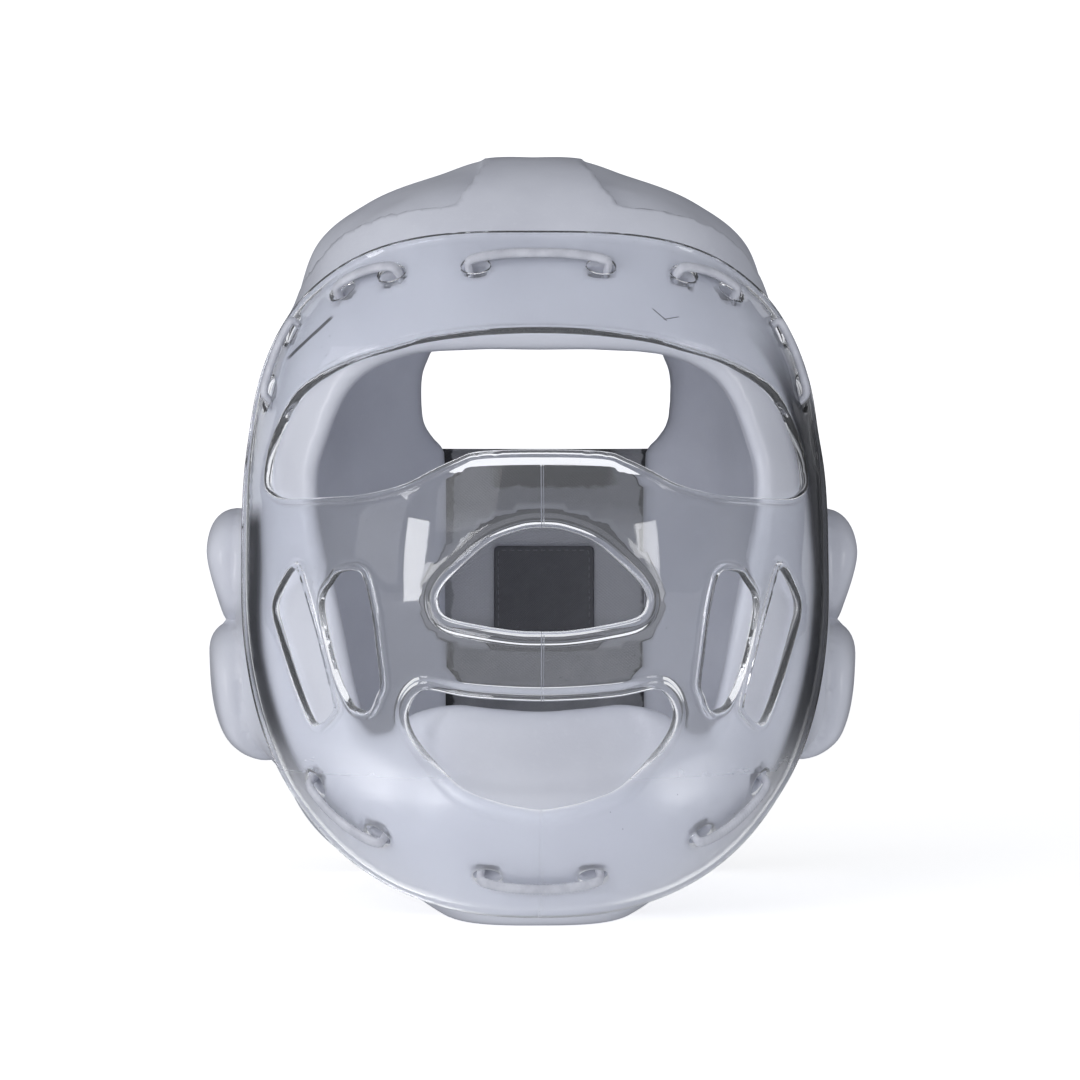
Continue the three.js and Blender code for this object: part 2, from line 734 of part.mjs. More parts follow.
// A point of the skin at the back, seen at (x, z).
function backPoint(x, z) {
  const p = frontPoint(x, z, (way) => skinRadius(new THREE.Vector3(way.x, -way.y, way.z)));
  return new THREE.Vector3(p.x, -p.y, p.z);
}

function closurePanel() {
  const width = panelHalfWidth - panelCorner;
  const [low, high] = [panelBottom + panelCorner, panelTop - panelCorner];
  const corners = [[1, low, -90], [1, high, 0], [-1, high, 90], [-1, low, 180]];
  const outline = corners.flatMap(([side, z, start]) =>
    [0, 30, 60, 90].map((step) => {
      const turn = THREE.MathUtils.degToRad(start + step);
      return backPoint(
        closureShift + side * width + panelCorner * Math.cos(turn),
        z + panelCorner * Math.sin(turn),
      );
    }),
  );
  return skinSolid(panelGap + panelWall)
    .subtract(skinSolid(panelGap))
    .intersect(coneSolid(outline));
}

function labelPatch() {
  const corners = [[-1, -1], [1, -1], [1, 1], [-1, 1]];
  const outline = corners.map(([x, z]) =>
    backPoint(closureShift + (x * patchWidth) / 2, patchMiddle + (z * patchHeight) / 2),
  );
  return skinSolid(0).subtract(skinSolid(-patchWall)).intersect(coneSolid(outline));
}

const assembly = new THREE.Group();

function addPiece(name, solid, look) {
  const piece = meshOf(solid);
  piece.material = new THREE.MeshStandardMaterial(look);
  piece.name = name;
  assembly.add(piece);
}

addPiece("foam_shell", foamShell(), { color: 0xc6c7d1, roughness: 0.35, metalness: 0 });
addPiece("face_shield", faceShield(), { color: 0xdfe2ea, roughness: 0.08, metalness: 0 });
cords.forEach(({ name, ends }) =>
  addPiece(name, cordSolid(ends), { color: 0xc2c3cb, roughness: 0.4, metalness: 0 }),
);
addPiece("closure_panel", closurePanel(), { color: 0x76777b, roughness: 0.85, metalness: 0 });
addPiece("label_patch", labelPatch(), { color: 0x404144, roughness: 0.8, metalness: 0 });

// The origin is at the middle of the footprint, on the floor.
const box = new THREE.Box3().setFromObject(assembly);
const centre = box.getCenter(new THREE.Vector3());
assembly.position.set(-centre.x, -centre.y, -box.min.z);

export default assembly;
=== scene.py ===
import math
import time

import bpy
import numpy as np
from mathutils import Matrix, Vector
from mathutils.geometry import delaunay_2d_cdt


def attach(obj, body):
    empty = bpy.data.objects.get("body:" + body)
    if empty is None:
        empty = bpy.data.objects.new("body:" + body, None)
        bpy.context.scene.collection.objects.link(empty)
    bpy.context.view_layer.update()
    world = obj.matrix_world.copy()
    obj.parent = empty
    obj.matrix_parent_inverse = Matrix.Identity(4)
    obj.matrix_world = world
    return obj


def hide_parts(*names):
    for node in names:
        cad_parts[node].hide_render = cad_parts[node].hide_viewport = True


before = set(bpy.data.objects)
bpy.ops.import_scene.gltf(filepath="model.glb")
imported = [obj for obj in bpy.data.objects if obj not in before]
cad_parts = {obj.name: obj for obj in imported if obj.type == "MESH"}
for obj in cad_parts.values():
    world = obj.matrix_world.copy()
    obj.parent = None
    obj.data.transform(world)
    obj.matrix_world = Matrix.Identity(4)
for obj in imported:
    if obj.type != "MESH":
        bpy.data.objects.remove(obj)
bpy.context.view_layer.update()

started = time.time()


def tell(stage):
    print(f"{time.time() - started:6.1f} s  {stage}")


# Shapes are worked out in millimetres as (across, forward, up) from the shell's middle.
middleUp = 120.0
frontShift = 11.103  # the frame's y is this much less the forward distance
shell = {
    "size": np.array([106.0, 118.0, 148.0]),
    "wall": 18.0,
    "squareness": 0.7,
    "neck": (76.0, 60.0, 94.0),  # half width, front and back of the neck opening
    "pitch": 2.15,
    "ringEdge": 6.0,  # edge roundings
    "rearEdge": 5.0,
    "archEdge": 5.5,
    "holeEdge": 3.5,
    "floorEdge": 2.2,
    "upperLobeRise": 12.0,
    "lowerLobeRise": 9.4,
    "crownRecess": 5.2,
    "chinRecess": 3.0,
    "laceDepth": 7.0,
    "face": (75, 65.5, 194.3),  # half width, bottom and top of each opening
    "rear": (49, 0, 210.7),
    # ovals: middle, half sizes
    "earHole": (-6, 103, 17, 11),
    "upperLobe": (-14, 119.5, 44, 22),
    "lowerLobe": (2, 75.6, 46, 26),
    "lobeSquareness": 2.8,
    "chinPatch": (0, 62, 38, 16),
    "chinSquareness": 2.6,
    # the field's corners
    "low": np.array([-122.0, -117.0, -4.0 - middleUp]),
    "high": np.array([122.0, 124.0, 152.0]),
    "slab": 12,
    "fill": 0.9,
}
# latitude, then how far the skin lies forward, sideways, at the nape's corners and back
skinTable = np.array([
    [-90, 0.84, 0.7, 0.8, 0.84], [-65, 0.93, 0.757, 1.05, 0.98],
    [-45, 1.143, 0.805, 1.3, 1.2], [-36, 1.158, 0.952, 1.2, 1.17],
    [-27, 1.124, 0.985, 1.1, 1.055], [-20, 0.965, 1.06, 1.06, 1.02],
    [-10, 0.895, 1.03, 1.03, 0.985], [0, 0.88, 1, 1, 0.975],
    [12, 0.9, 0.999, 0.999, 0.985], [18, 0.92, 0.995, 0.995, 0.992],
    [24, 0.945, 1.019, 1.019, 1], [32, 0.982, 1.032, 1.032, 1.015],
    [38, 1.005, 1.033, 1.033, 1.03], [47, 1.035, 1.08, 1.08, 1.028],
    [57, 1.048, 1.055, 1.055, 1.018], [70, 1.033, 1.012, 1.012, 1.008],
    [80, 1.012, 1.012, 1.012, 1.003], [90, 1, 1, 1, 1],
])
skinSlopes = np.zeros_like(skinTable)
skinSlopes[1:-1] = (skinTable[2:] - skinTable[:-2]) / (skinTable[2:, :1] - skinTable[:-2, :1])


def lengthOf(v):
    return np.sqrt((v * v).sum(-1))


def unit(v):
    return v / np.maximum(lengthOf(v), 1e-9)[..., None]


def smoothStep(value, low, high):
    t = np.clip((value - low) / (high - low), 0, 1)
    return t * t * (3 - 2 * t)


def skinShares(latitude):  # a smooth curve through the rows of the table
    row = np.clip(np.searchsorted(skinTable[:, 0], latitude) - 1, 0, len(skinTable) - 2)
    low, high = skinTable[row], skinTable[row + 1]
    step = (high[..., 0] - low[..., 0])[..., None]
    t = np.clip((latitude[..., None] - low[..., :1]) / step, 0, 1)
    shares = (
        (2 * t**3 - 3 * t**2 + 1) * low
        + (t**3 - 2 * t**2 + t) * step * skinSlopes[row]
        + (3 * t**2 - 2 * t**3) * high
        + (t**3 - t**2) * step * skinSlopes[row + 1]
    )
    return shares[..., 1], shares[..., 2], shares[..., 3], shares[..., 4]


def skinRadius(ways):  # from the middle to the shell's skin
    scaled = ways / shell["size"]
    level = np.maximum(np.hypot(scaled[..., 0], scaled[..., 1]), 1e-6)
    lift = np.arctan2(scaled[..., 2], level)
    front, side, nape, back = skinShares(np.degrees(lift))
    power = 2 + shell["squareness"] * np.cos(lift) ** 2
    forward = scaled[..., 1] / level
    corner = np.where(forward < 0, forward**2, 0)
    across = side + (nape - side) * corner
    along = np.where(forward >= 0, front, back)
    total = (np.abs(forward) / along) ** power
    total += (np.abs(scaled[..., 0]) / level / across) ** power
    return total ** (-1 / power) / lengthOf(scaled)


shield = {
    "wall": 2.2,
    "seat": 0.45,
    "rimHalfWidth": 101.8,
    "rimHalfHeight": 115.2,
    "rimMiddle": 119.6,
    "rimPowers": (3.2, 2.35),
    "domeSize": np.array([97.0, 118.0, 122.7]),
    "domeMiddle": np.array([0.0, 20.0, 115.0 - middleUp]),
    "blend": 8.0,
    "nose": (33.8, 100.4, 133.9),  # half width, bottom and top of each opening
    "mouth": (43.6, 40.9, 81),
    "eye": (92.3, 144.3, 199.6),
    "outerVent": (69, 20, 67.7, 52),  # distance from the middle, width, bottom, height
    "innerVent": (53, 19.3, 73.5, 46.3),
    "rimPoints": 720,
}


def domeRadius(ways):
    start = -shield["domeMiddle"] / shield["domeSize"]
    ray = ways / shield["domeSize"]
    a = (ray * ray).sum(-1)
    b = (ray * start).sum(-1)
    return (-b + np.sqrt(b * b - a * ((start * start).sum() - 1))) / a


def blendedMax(a, b, blend):
    return np.maximum(a, b) + np.maximum(0, blend - np.abs(a - b)) ** 2 / (4 * blend)


def shieldInside(ways):
    return blendedMax(skinRadius(ways) + shield["seat"], domeRadius(ways), shield["blend"])


def shieldOutside(ways):
    return shieldInside(ways) + shield["wall"]


def facePoint(spots, radiusOf, facing=1):  # where (x, height) lies on a surface
    spots = np.asarray(spots, float)
    near, far = np.zeros(len(spots)), np.full(len(spots), 240.0)
    for _ in range(34):
        reach = (near + far) / 2
        p = np.stack([spots[:, 0], facing * reach, spots[:, 1] - middleUp], -1)
        out = lengthOf(p) > radiusOf(unit(p))
        far, near = np.where(out, reach, far), np.where(out, near, reach)
    return np.stack([spots[:, 0], facing * near, spots[:, 1] - middleUp], -1)


def smoothLine(points, perSpan=6, closed=True):  # a curve through the points
    p = np.asarray(points, float)
    count = len(p)
    spans = count if closed else count - 1
    ids = np.arange(spans)
    pick = (lambda k: p[k % count]) if closed else (lambda k: p[np.clip(k, 0, count - 1)])
    a, b, c, d = pick(ids - 1), pick(ids), pick(ids + 1), pick(ids + 2)
    rows = []
    for t in np.arange(perSpan) / perSpan:
        rows.append(
            b
            + 0.5 * t * (c - a)
            + t * t * (a - 2.5 * b + 2 * c - 0.5 * d)
            + t**3 * (-0.5 * a + 1.5 * b - 1.5 * c + 0.5 * d)
        )
    line = np.stack(rows, 1).reshape(-1, p.shape[1])
    return line if closed else np.vstack([line, p[-1:]])


def spaced(points, step, closed=True):  # the same line, with points at even steps
    p = np.asarray(points, float)
    loop = np.vstack([p, p[:1]]) if closed else p
    way = np.r_[0, np.cumsum(lengthOf(np.diff(loop, axis=0)))]
    count = max(4, int(round(way[-1] / step)))
    at = np.linspace(0, way[-1], count + (0 if closed else 1), endpoint=not closed)
    return np.stack([np.interp(at, way, loop[:, k]) for k in range(loop.shape[1])], -1)


def mirrored(rows, halfWidth, bottom, top):
    half = [(x * halfWidth, bottom + z * (top - bottom)) for x, z in rows]
    return half + [(-x, z) for x, z in half[-2:0:-1]]


def oval(centreX, centreZ, halfX, halfZ, count=72, squareness=2.0):
    turn = np.arange(count) * 2 * math.pi / count
    c, s = np.cos(turn), np.sin(turn)
    power = 2 / squareness
    x = centreX + halfX * np.sign(c) * np.abs(c) ** power
    return np.stack([x, centreZ + halfZ * np.sign(s) * np.abs(s) ** power], -1)


def insideLoop(spots, loop):
    x, y = spots[:, 0], spots[:, 1]
    inside = np.zeros(len(spots), bool)
    for (ax, ay), (bx, by) in zip(loop, np.roll(loop, -1, 0)):
        if ay != by:
            inside ^= ((ay > y) != (by > y)) & (x < (bx - ax) * (y - ay) / (by - ay) + ax)
    return inside


class Outline:  # signed distance to a closed outline, negative inside, kept on a grid
    def __init__(self, loop, margin=26.0, cell=1.0):
        loop = np.asarray(loop, float)
        self.cell = cell
        self.low = loop.min(0) - margin
        counts = np.ceil((loop.max(0) + margin - self.low) / cell).astype(int) + 1
        u, v = np.meshgrid(*[np.arange(n) * cell for n in counts], indexing="ij")
        spots = np.stack([u.ravel(), v.ravel()], -1) + self.low
        best = np.full(len(spots), 1e9)
        for a, b in zip(loop, np.roll(loop, -1, 0)):
            edge = b - a
            size = edge @ edge
            if size < 1e-12:
                continue
            t = np.clip(((spots - a) @ edge) / size, 0, 1)
            best = np.minimum(best, ((spots - a - t[:, None] * edge) ** 2).sum(-1))
        grid = np.sqrt(best) * np.where(insideLoop(spots, loop), -1, 1)
        self.grid = grid.reshape(counts)

    def at(self, u, v):
        top = np.array(self.grid.shape) - 1.001
        a = np.clip((u - self.low[0]) / self.cell, 0, top[0])
        b = np.clip((v - self.low[1]) / self.cell, 0, top[1])
        i, j = a.astype(int), b.astype(int)
        s, t = a - i, b - j
        g = self.grid
        return (g[i, j] * (1 - s) + g[i + 1, j] * s) * (1 - t) + (
            g[i, j + 1] * (1 - s) + g[i + 1, j + 1] * s
        ) * t


# Half outlines from the bottom centre to the top centre: shares of half width and height.
faceRows = [
    (0, 0.055), (0.2, 0.062), (0.38, 0.071), (0.55, 0.05), (0.68, 0), (0.787, 0.043),
    (0.907, 0.345), (1, 0.63), (0.957, 0.773), (0.829, 0.917), (0.6, 0.985), (0.3, 1), (0, 1),
]
rearRows = [
    (0, -0.05), (0.78, -0.05), (0.806, 0.3), (0.812, 0.6), (0.816, 0.762), (0.835, 0.79),
    (0.918, 0.812), (0.99, 0.845), (1, 0.916), (0.95, 0.955), (0.878, 0.978), (0.61, 0.997),
    (0.22, 1), (0.08, 0.992), (0, 0.985),
]
eyeRows = [
    (0, 0.275), (0.221, 0.264), (0.3, 0.222), (0.39, 0.154), (0.49, 0.072), (0.638, 0.016),
    (0.787, 0.002), (0.92, 0), (0.98, 0.04), (1, 0.12), (0.978, 0.335), (0.91, 0.57),
    (0.831, 0.707), (0.683, 0.837), (0.531, 0.906), (0.4, 0.956), (0.2, 0.99), (0, 1),
]
noseRows = [
    (0, 0), (0.25, 0.008), (0.583, 0.057), (0.917, 0.137), (1, 0.287), (0.947, 0.448),
    (0.74, 0.663), (0.488, 0.872), (0.198, 0.982), (0, 1),
]
mouthRows = [
    (0, 0), (0.149, 0.02), (0.353, 0.072), (0.6, 0.18), (0.82, 0.41), (0.952, 0.6),
    (1, 0.741), (0.993, 0.85), (0.94, 0.953), (0.849, 1), (0.587, 0.95), (0.298, 0.925),
    (0, 0.915),
]
# Whole outlines of one side's vents: shares of the width outward and of the height.
outerVentRows = [
    (0.715, 1), (0.605, 0.988), (0.48, 0.845), (0.3, 0.627), (0.13, 0.376), (0, 0.164),
    (0.02, 0.097), (0.27, 0), (0.41, 0.062), (0.58, 0.224), (0.76, 0.423), (0.92, 0.618),
    (1, 0.735), (0.95, 0.84),
]
innerVentRows = [
    (0.715, 0.978), (0.518, 1), (0.342, 0.987), (0.254, 0.916), (0.135, 0.682),
    (0.067, 0.456), (0, 0.199), (0.057, 0.125), (0.197, 0), (0.389, 0.002), (0.513, 0.043),
    (0.725, 0.229), (0.896, 0.488), (1, 0.711), (0.984, 0.819), (0.819, 0.92),
]
# The recessed crown panel of one side: shares of the shell's sizes.
crownRows = np.array([
    (0.27, 0.6, 0.849), (0.399, 0.577, 0.84), (0.548, 0.515, 0.817), (0.651, 0.44, 0.782),
    (0.737, 0.343, 0.72), (0.9, 0.06, 0.66), (0.72, -0.2, 0.8), (0.4, -0.3, 0.92),
    (0.17, -0.25, 0.985), (0.171, 0.365, 0.965), (0.217, 0.518, 0.907),
])
archSpots = [(58, 0), (36, 43.7), (17.4, 52), (-27.3, 48.9), (-56.2, 26), (-78, 0)]
closureShift = 8.0

faceEdge = Outline(smoothLine(mirrored(faceRows, *shell["face"])))
rearEdge = Outline(
    [(x + closureShift, z) for x, z in smoothLine(mirrored(rearRows, *shell["rear"]))]
)
archLine = smoothLine(archSpots, 8, closed=False)
archEdge = Outline(np.vstack([[(58, -40)], archLine, [(-78, -40)]]))
earHole = Outline(oval(*shell["earHole"]))
upperLobe = Outline(oval(*shell["upperLobe"], squareness=shell["lobeSquareness"]))
lowerLobe = Outline(oval(*shell["lowerLobe"], squareness=shell["lobeSquareness"]))
chinPatch = Outline(oval(*shell["chinPatch"], squareness=shell["chinSquareness"]))


def crownPlane(ways):  # a plane round the crown, where shapes keep their form
    return ways[..., 0] / (1 + ways[..., 2]), ways[..., 1] / (1 + ways[..., 2])


crownWays = unit(crownRows * shell["size"])
crownEdge = Outline(np.stack(crownPlane(crownWays), -1) * 200, margin=60)


def pillow(depth, width, fullness):  # rises steeply from an edge, then levels off
    t = np.clip(depth / width, 0, 1)
    return (1 - (1 - t) ** fullness) ** (1 / fullness)


def reliefOf(ways, skin):
    q = ways * skin[..., None]
    up = q[..., 2] + middleUp
    upper = pillow(-upperLobe.at(q[..., 1], up), 12, 2.2)
    upper = upper * shell["upperLobeRise"] * (1 - 0.5 * smoothStep(-up, -127, -103))
    lower = pillow(-lowerLobe.at(q[..., 1], up), 9, 2.4) * shell["lowerLobeRise"]
    lower = lower * (1 - 0.28 * smoothStep(-up, -95, -52))
    rise = np.maximum(upper, lower)
    u, v = crownPlane(np.stack([np.abs(ways[..., 0]), ways[..., 1], ways[..., 2]], -1))
    edge = crownEdge.at(u * 200, v * 200) / 200 * skin * (1 + ways[..., 2])
    fade = smoothStep(q[..., 1] / shell["size"][1], 0.05, 0.4)
    rise = rise - shell["crownRecess"] * fade * smoothStep(-edge, -0.9, 1.5)
    chin = chinPatch.at(q[..., 0], up)
    rise = rise - shell["chinRecess"] * smoothStep(-chin, -1.2, 2.6) * (q[..., 1] > 0)
    return rise


def roundedMax(a, b, radius):  # where two cuts meet, the edge is rounded
    corner = np.hypot(np.maximum(a + radius, 0), np.maximum(b + radius, 0))
    return np.minimum(-radius, np.maximum(a, b)) + corner


def blendedMin(a, b, blend):
    return np.minimum(a, b) - np.maximum(0, blend - np.abs(a - b)) ** 2 / (4 * blend)


# The stitches: ends as shares of the shield's rim, from its middle.
laces = {
    "width": 4.0,
    "thickness": 2.6,
    "clearance": 0.35,
    "holeLength": 10.0,
    "holeWidth": 5.6,
    "bow": 3.0,
    "ribPitch": 1.15,
    "ribHeight": 0.07,
    "rows": [
        ("cord_top", (-0.233, 0.897), (0.233, 0.897), False),
        ("cord_brow", (0.468, 0.883), (0.673, 0.826), True),
        ("cord_temple", (0.817, 0.745), (0.915, 0.516), True),
        ("cord_jaw", (0.754, -0.613), (0.512, -0.776), True),
        ("cord_chin", (-0.196, -0.878), (0.196, -0.878), False),
    ],
}
stitches = []
for name, first, last, both in laces["rows"]:
    for side in (-1, 1) if both else (1,):
        spots = [
            (side * x * shield["rimHalfWidth"], shield["rimMiddle"] + z * shield["rimHalfHeight"])
            for x, z in (first, last)
        ]
        label = name + ("" if not both else "_left" if side < 0 else "_right")
        stitches.append((label, facePoint(spots, shieldOutside)))


def laceHole(end, partner):  # its way out, and the two directions of its oval
    way = unit(end)
    across = unit(np.cross(way, partner - end))
    along = np.cross(across, way)
    centre = end + along * (laces["holeLength"] / 2 - laces["thickness"])
    return centre, along, across


laceHoles = [laceHole(*pair) for _, (a, b) in stitches for pair in ((a, b), (b, a))]


def shellField(p):  # below zero inside the foam
    size = lengthOf(p)
    ways = p / np.maximum(size, 1e-6)[..., None]
    skin = skinRadius(ways)
    up = p[..., 2] + middleUp
    outer = size - skin - reliefOf(ways, skin)
    inner = size - skin + shell["wall"]
    halfWidth, front, back = shell["neck"]
    depth = np.where(p[..., 1] > 0, front, back)
    neck = (np.hypot(p[..., 0] / halfWidth, p[..., 1] / depth) - 1) * halfWidth
    hollow = blendedMin(inner, np.maximum(neck, p[..., 2]), 12)
    foam = roundedMax(outer, -hollow, 2.0)
    face = np.maximum(faceEdge.at(p[..., 0], up), -p[..., 1])
    foam = roundedMax(foam, -face, shell["ringEdge"])
    rear = np.maximum(rearEdge.at(p[..., 0], up), p[..., 1])
    foam = roundedMax(foam, -rear, shell["rearEdge"])
    foam = roundedMax(foam, -archEdge.at(p[..., 1], up), shell["archEdge"])
    foam = roundedMax(foam, -earHole.at(p[..., 1], up), shell["holeEdge"])
    for centre, along, across in laceHoles:
        near = lengthOf(p - centre) < 22
        if not near.any():
            continue
        offset = ways[near] * lengthOf(centre) - centre
        a = np.abs(offset @ along) - (laces["holeLength"] - laces["holeWidth"]) / 2
        hole = np.hypot(np.maximum(a, 0), offset @ across) - laces["holeWidth"] / 2 + 0.4
        hole = np.maximum(hole, skin[near] - shell["laceDepth"] - size[near])
        foam[near] = roundedMax(foam[near], -hole, 0.8)
    return roundedMax(foam, -up, shell["floorEdge"])


def surfaceNet(field, low, pitch):  # one point in each cell that the surface crosses
    inside = field < 0
    cells = np.array(field.shape) - 1
    keys, spots, quads = [], [], []
    for axis in range(3):
        b, c = (axis + 1) % 3, (axis + 2) % 3
        first = [slice(None)] * 3
        second = [slice(None)] * 3
        first[axis], second[axis] = slice(None, -1), slice(1, None)
        f0, f1 = field[tuple(first)], field[tuple(second)]
        edge = np.argwhere((f0 < 0) != (f1 < 0))
        edge = edge[(edge[:, b] > 0) & (edge[:, c] > 0)]
        edge = edge[(edge[:, b] < cells[b]) & (edge[:, c] < cells[c])]
        v0, v1 = f0[tuple(edge.T)], f1[tuple(edge.T)]
        at = edge.astype(float)
        at[:, axis] += v0 / (v0 - v1)
        ring = []
        for db, dc in ((1, 1), (0, 1), (0, 0), (1, 0)):
            cell = edge.copy()
            cell[:, b] -= db
            cell[:, c] -= dc
            key = (cell[:, 0] * cells[1] + cell[:, 1]) * cells[2] + cell[:, 2]
            ring.append(key)
            keys.append(key)
            spots.append(at)
        quad = np.stack(ring, -1)
        quad[v0 > 0] = quad[v0 > 0][:, ::-1]
        quads.append(quad)
    used, ids = np.unique(np.concatenate(keys), return_inverse=True)
    spots = np.concatenate(spots)
    count = np.bincount(ids)
    points = np.stack([np.bincount(ids, spots[:, k]) / count for k in range(3)], -1)
    faces = np.searchsorted(used, np.concatenate(quads))
    return low + points * pitch, faces


def settled(points, field, rounds=3, most=1.2):  # points brought onto the surface
    for _ in range(rounds):
        value = field(points)
        slope = np.stack(
            [field(points + step) - value for step in np.eye(3) * 0.25], -1
        ) / 0.25
        move = slope * (value / np.maximum((slope * slope).sum(-1), 0.05))[:, None]
        size = lengthOf(move)
        points = points - move * np.minimum(1, most / np.maximum(size, 1e-9))[:, None]
    return points


def evened(points, faces, rounds):  # each point drawn towards its neighbours
    edges = np.concatenate([faces[:, [k, (k + 1) % 4]] for k in range(4)])
    count = np.bincount(edges[:, 0], minlength=len(points))
    for _ in range(rounds):
        mean = np.stack(
            [np.bincount(edges[:, 0], points[edges[:, 1], k], len(points)) for k in range(3)], -1
        ) / np.maximum(count, 1)[:, None]
        points = points + (mean - points) * 0.6
    return points


def makePiece(name, points, faces, material, replaces=()):
    mesh = bpy.data.meshes.new(name)
    spots = np.stack(
        [points[:, 0], frontShift - points[:, 1], points[:, 2] + middleUp], -1
    ) / 1000
    mesh.from_pydata(spots.tolist(), [], [list(map(int, f)) for f in faces])
    mesh.update()
    mesh.shade_smooth()
    piece = bpy.data.objects.new(name, mesh)
    bpy.context.scene.collection.objects.link(piece)
    mesh.materials.append(material)
    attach(piece, "root")
    if replaces:
        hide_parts(*replaces)
    return piece


class Tone:  # a number that varies over a surface, written in sums
    def __init__(self, bench, socket):
        self.bench, self.socket = bench, socket

    def __add__(self, other): return self.bench.maths("ADD", self, other)
    def __radd__(self, other): return self.bench.maths("ADD", other, self)
    def __sub__(self, other): return self.bench.maths("SUBTRACT", self, other)
    def __rsub__(self, other): return self.bench.maths("SUBTRACT", other, self)
    def __mul__(self, other): return self.bench.maths("MULTIPLY", self, other)
    def __rmul__(self, other): return self.bench.maths("MULTIPLY", other, self)
    def __truediv__(self, other): return self.bench.maths("DIVIDE", self, other)
    def __rtruediv__(self, other): return self.bench.maths("DIVIDE", other, self)
    def __pow__(self, other): return self.bench.maths("POWER", self, other)
    def __abs__(self): return self.bench.maths("ABSOLUTE", self)

    def step(self, low, high):  # 0 below low, 1 above high, smooth between
        made = self.bench.node(
            "ShaderNodeMapRange",
            {"interpolation_type": "SMOOTHSTEP"},
            {0: self, 1: low, 2: high, 3: 0.0, 4: 1.0},
        )
        return Tone(self.bench, made.outputs[0])


class Bench:  # one material, or the studio's world, being made
    def __init__(self, name, world=False):
        self.made = (bpy.data.worlds if world else bpy.data.materials).new(name)
        self.made.use_nodes = True
        self.tree = self.made.node_tree
        self.tree.nodes.clear()
        self.place = self.node("ShaderNodeTexCoord").outputs["Generated" if world else "Object"]
        split = self.node("ShaderNodeSeparateXYZ", {}, {0: self.place})
        self.x, self.y, self.z = (Tone(self, out) for out in split.outputs)

    def node(self, kind, settings=None, values=None):
        made = self.tree.nodes.new(kind)
        for key, value in (settings or {}).items():
            setattr(made, key, value)
        for key, value in (values or {}).items():
            value = value.socket if isinstance(value, Tone) else value
            if isinstance(value, bpy.types.NodeSocket):
                self.tree.links.new(value, made.inputs[key])
            else:
                made.inputs[key].default_value = value
        return made

    def maths(self, operation, *values):
        made = self.node("ShaderNodeMath", {"operation": operation}, dict(enumerate(values)))
        return Tone(self, made.outputs[0])

    def noise(self, scale, detail=3.0, roughness=0.5, stretch=(1, 1, 1)):
        spread = self.node(
            "ShaderNodeVectorMath", {"operation": "MULTIPLY"}, {0: self.place, 1: stretch}
        )
        made = self.node(
            "ShaderNodeTexNoise",
            {},
            {"Vector": spread.outputs[0], "Scale": scale, "Detail": detail,
             "Roughness": roughness},
        )
        return Tone(self, made.outputs[0])

    def cells(self, scale):
        made = self.node(
            "ShaderNodeTexVoronoi", {"feature": "F1"}, {"Vector": self.place, "Scale": scale}
        )
        return Tone(self, made.outputs["Distance"])

    def mixed(self, share, first, second):  # colours
        made = self.node(
            "ShaderNodeMix", {"data_type": "RGBA"}, {0: share, 6: first, 7: second}
        )
        return made.outputs[2]

    def bump(self, height, distance, strength=1.0):
        made = self.node(
            "ShaderNodeBump",
            {},
            {"Height": height, "Distance": distance, "Strength": strength},
        )
        return made.outputs[0]

    def finish(self, surface, output="ShaderNodeOutputMaterial"):
        self.node(output, {}, {"Surface": surface})
        return self.made


def foamMaterial():
    look = {
        "base": (0.635, 0.65, 0.715, 1),
        "shade": (0.585, 0.598, 0.665, 1),
        "pale": (0.66, 0.675, 0.735, 1),
        # a painted shadow line at the temple, and hair cracks in the brow: place, turn, length,
        # width
        "shadowLineAndCracks": [(-0.077, 0.199, 42, 0.0225, 0.0007), (0.0405, 0.2055, -40, 0.007, 0.00022),
                  (0.0445, 0.2045, 12, 0.006, 0.0002)],
    }
    b = Bench("coatedFoam")
    cloud = b.noise(26, 3, 0.55)
    fine = b.noise(420, 2, 0.5)
    peel = b.noise(760, 2, 0.45)
    colour = b.mixed(cloud.step(0.35, 0.7), look["base"], look["shade"])
    colour = b.mixed(fine.step(0.55, 0.8) * 0.35, colour, look["pale"])
    front = 1 - b.y.step(-0.02, 0)
    for x, z, turn, long, wide in look["shadowLineAndCracks"]:
        # the first line darkens the foam as painted shadow, the others as cracks
        way = math.radians(turn)
        along = (b.x - x) * math.cos(way) + (b.z - z) * math.sin(way)
        aside = (b.z - z) * math.cos(way) - (b.x - x) * math.sin(way)
        shadowLineAndCrack = (1 - abs(aside + cloud * 0.0012 - 0.0006).step(wide * 0.5, wide))
        shadowLineAndCrack = shadowLineAndCrack * (1 - abs(along).step(long * 0.4, long * 0.5)) * front
        colour = b.mixed(shadowLineAndCrack, colour, (0.03, 0.03, 0.035, 1))
    smudge = b.noise(58, 4, 0.6)
    rough = 0.3 + smudge.step(0.3, 0.75) * 0.14 + peel * 0.05
    normal = b.bump(peel + cloud * 1.5, 0.00009, 0.5)
    body = b.node(
        "ShaderNodeBsdfPrincipled",
        {},
        {"Base Color": colour, "Roughness": rough, "Normal": normal, "IOR": 1.47,
         "Coat Weight": 0.25, "Coat Roughness": 0.16},
    )
    return b.finish(body.outputs[0])


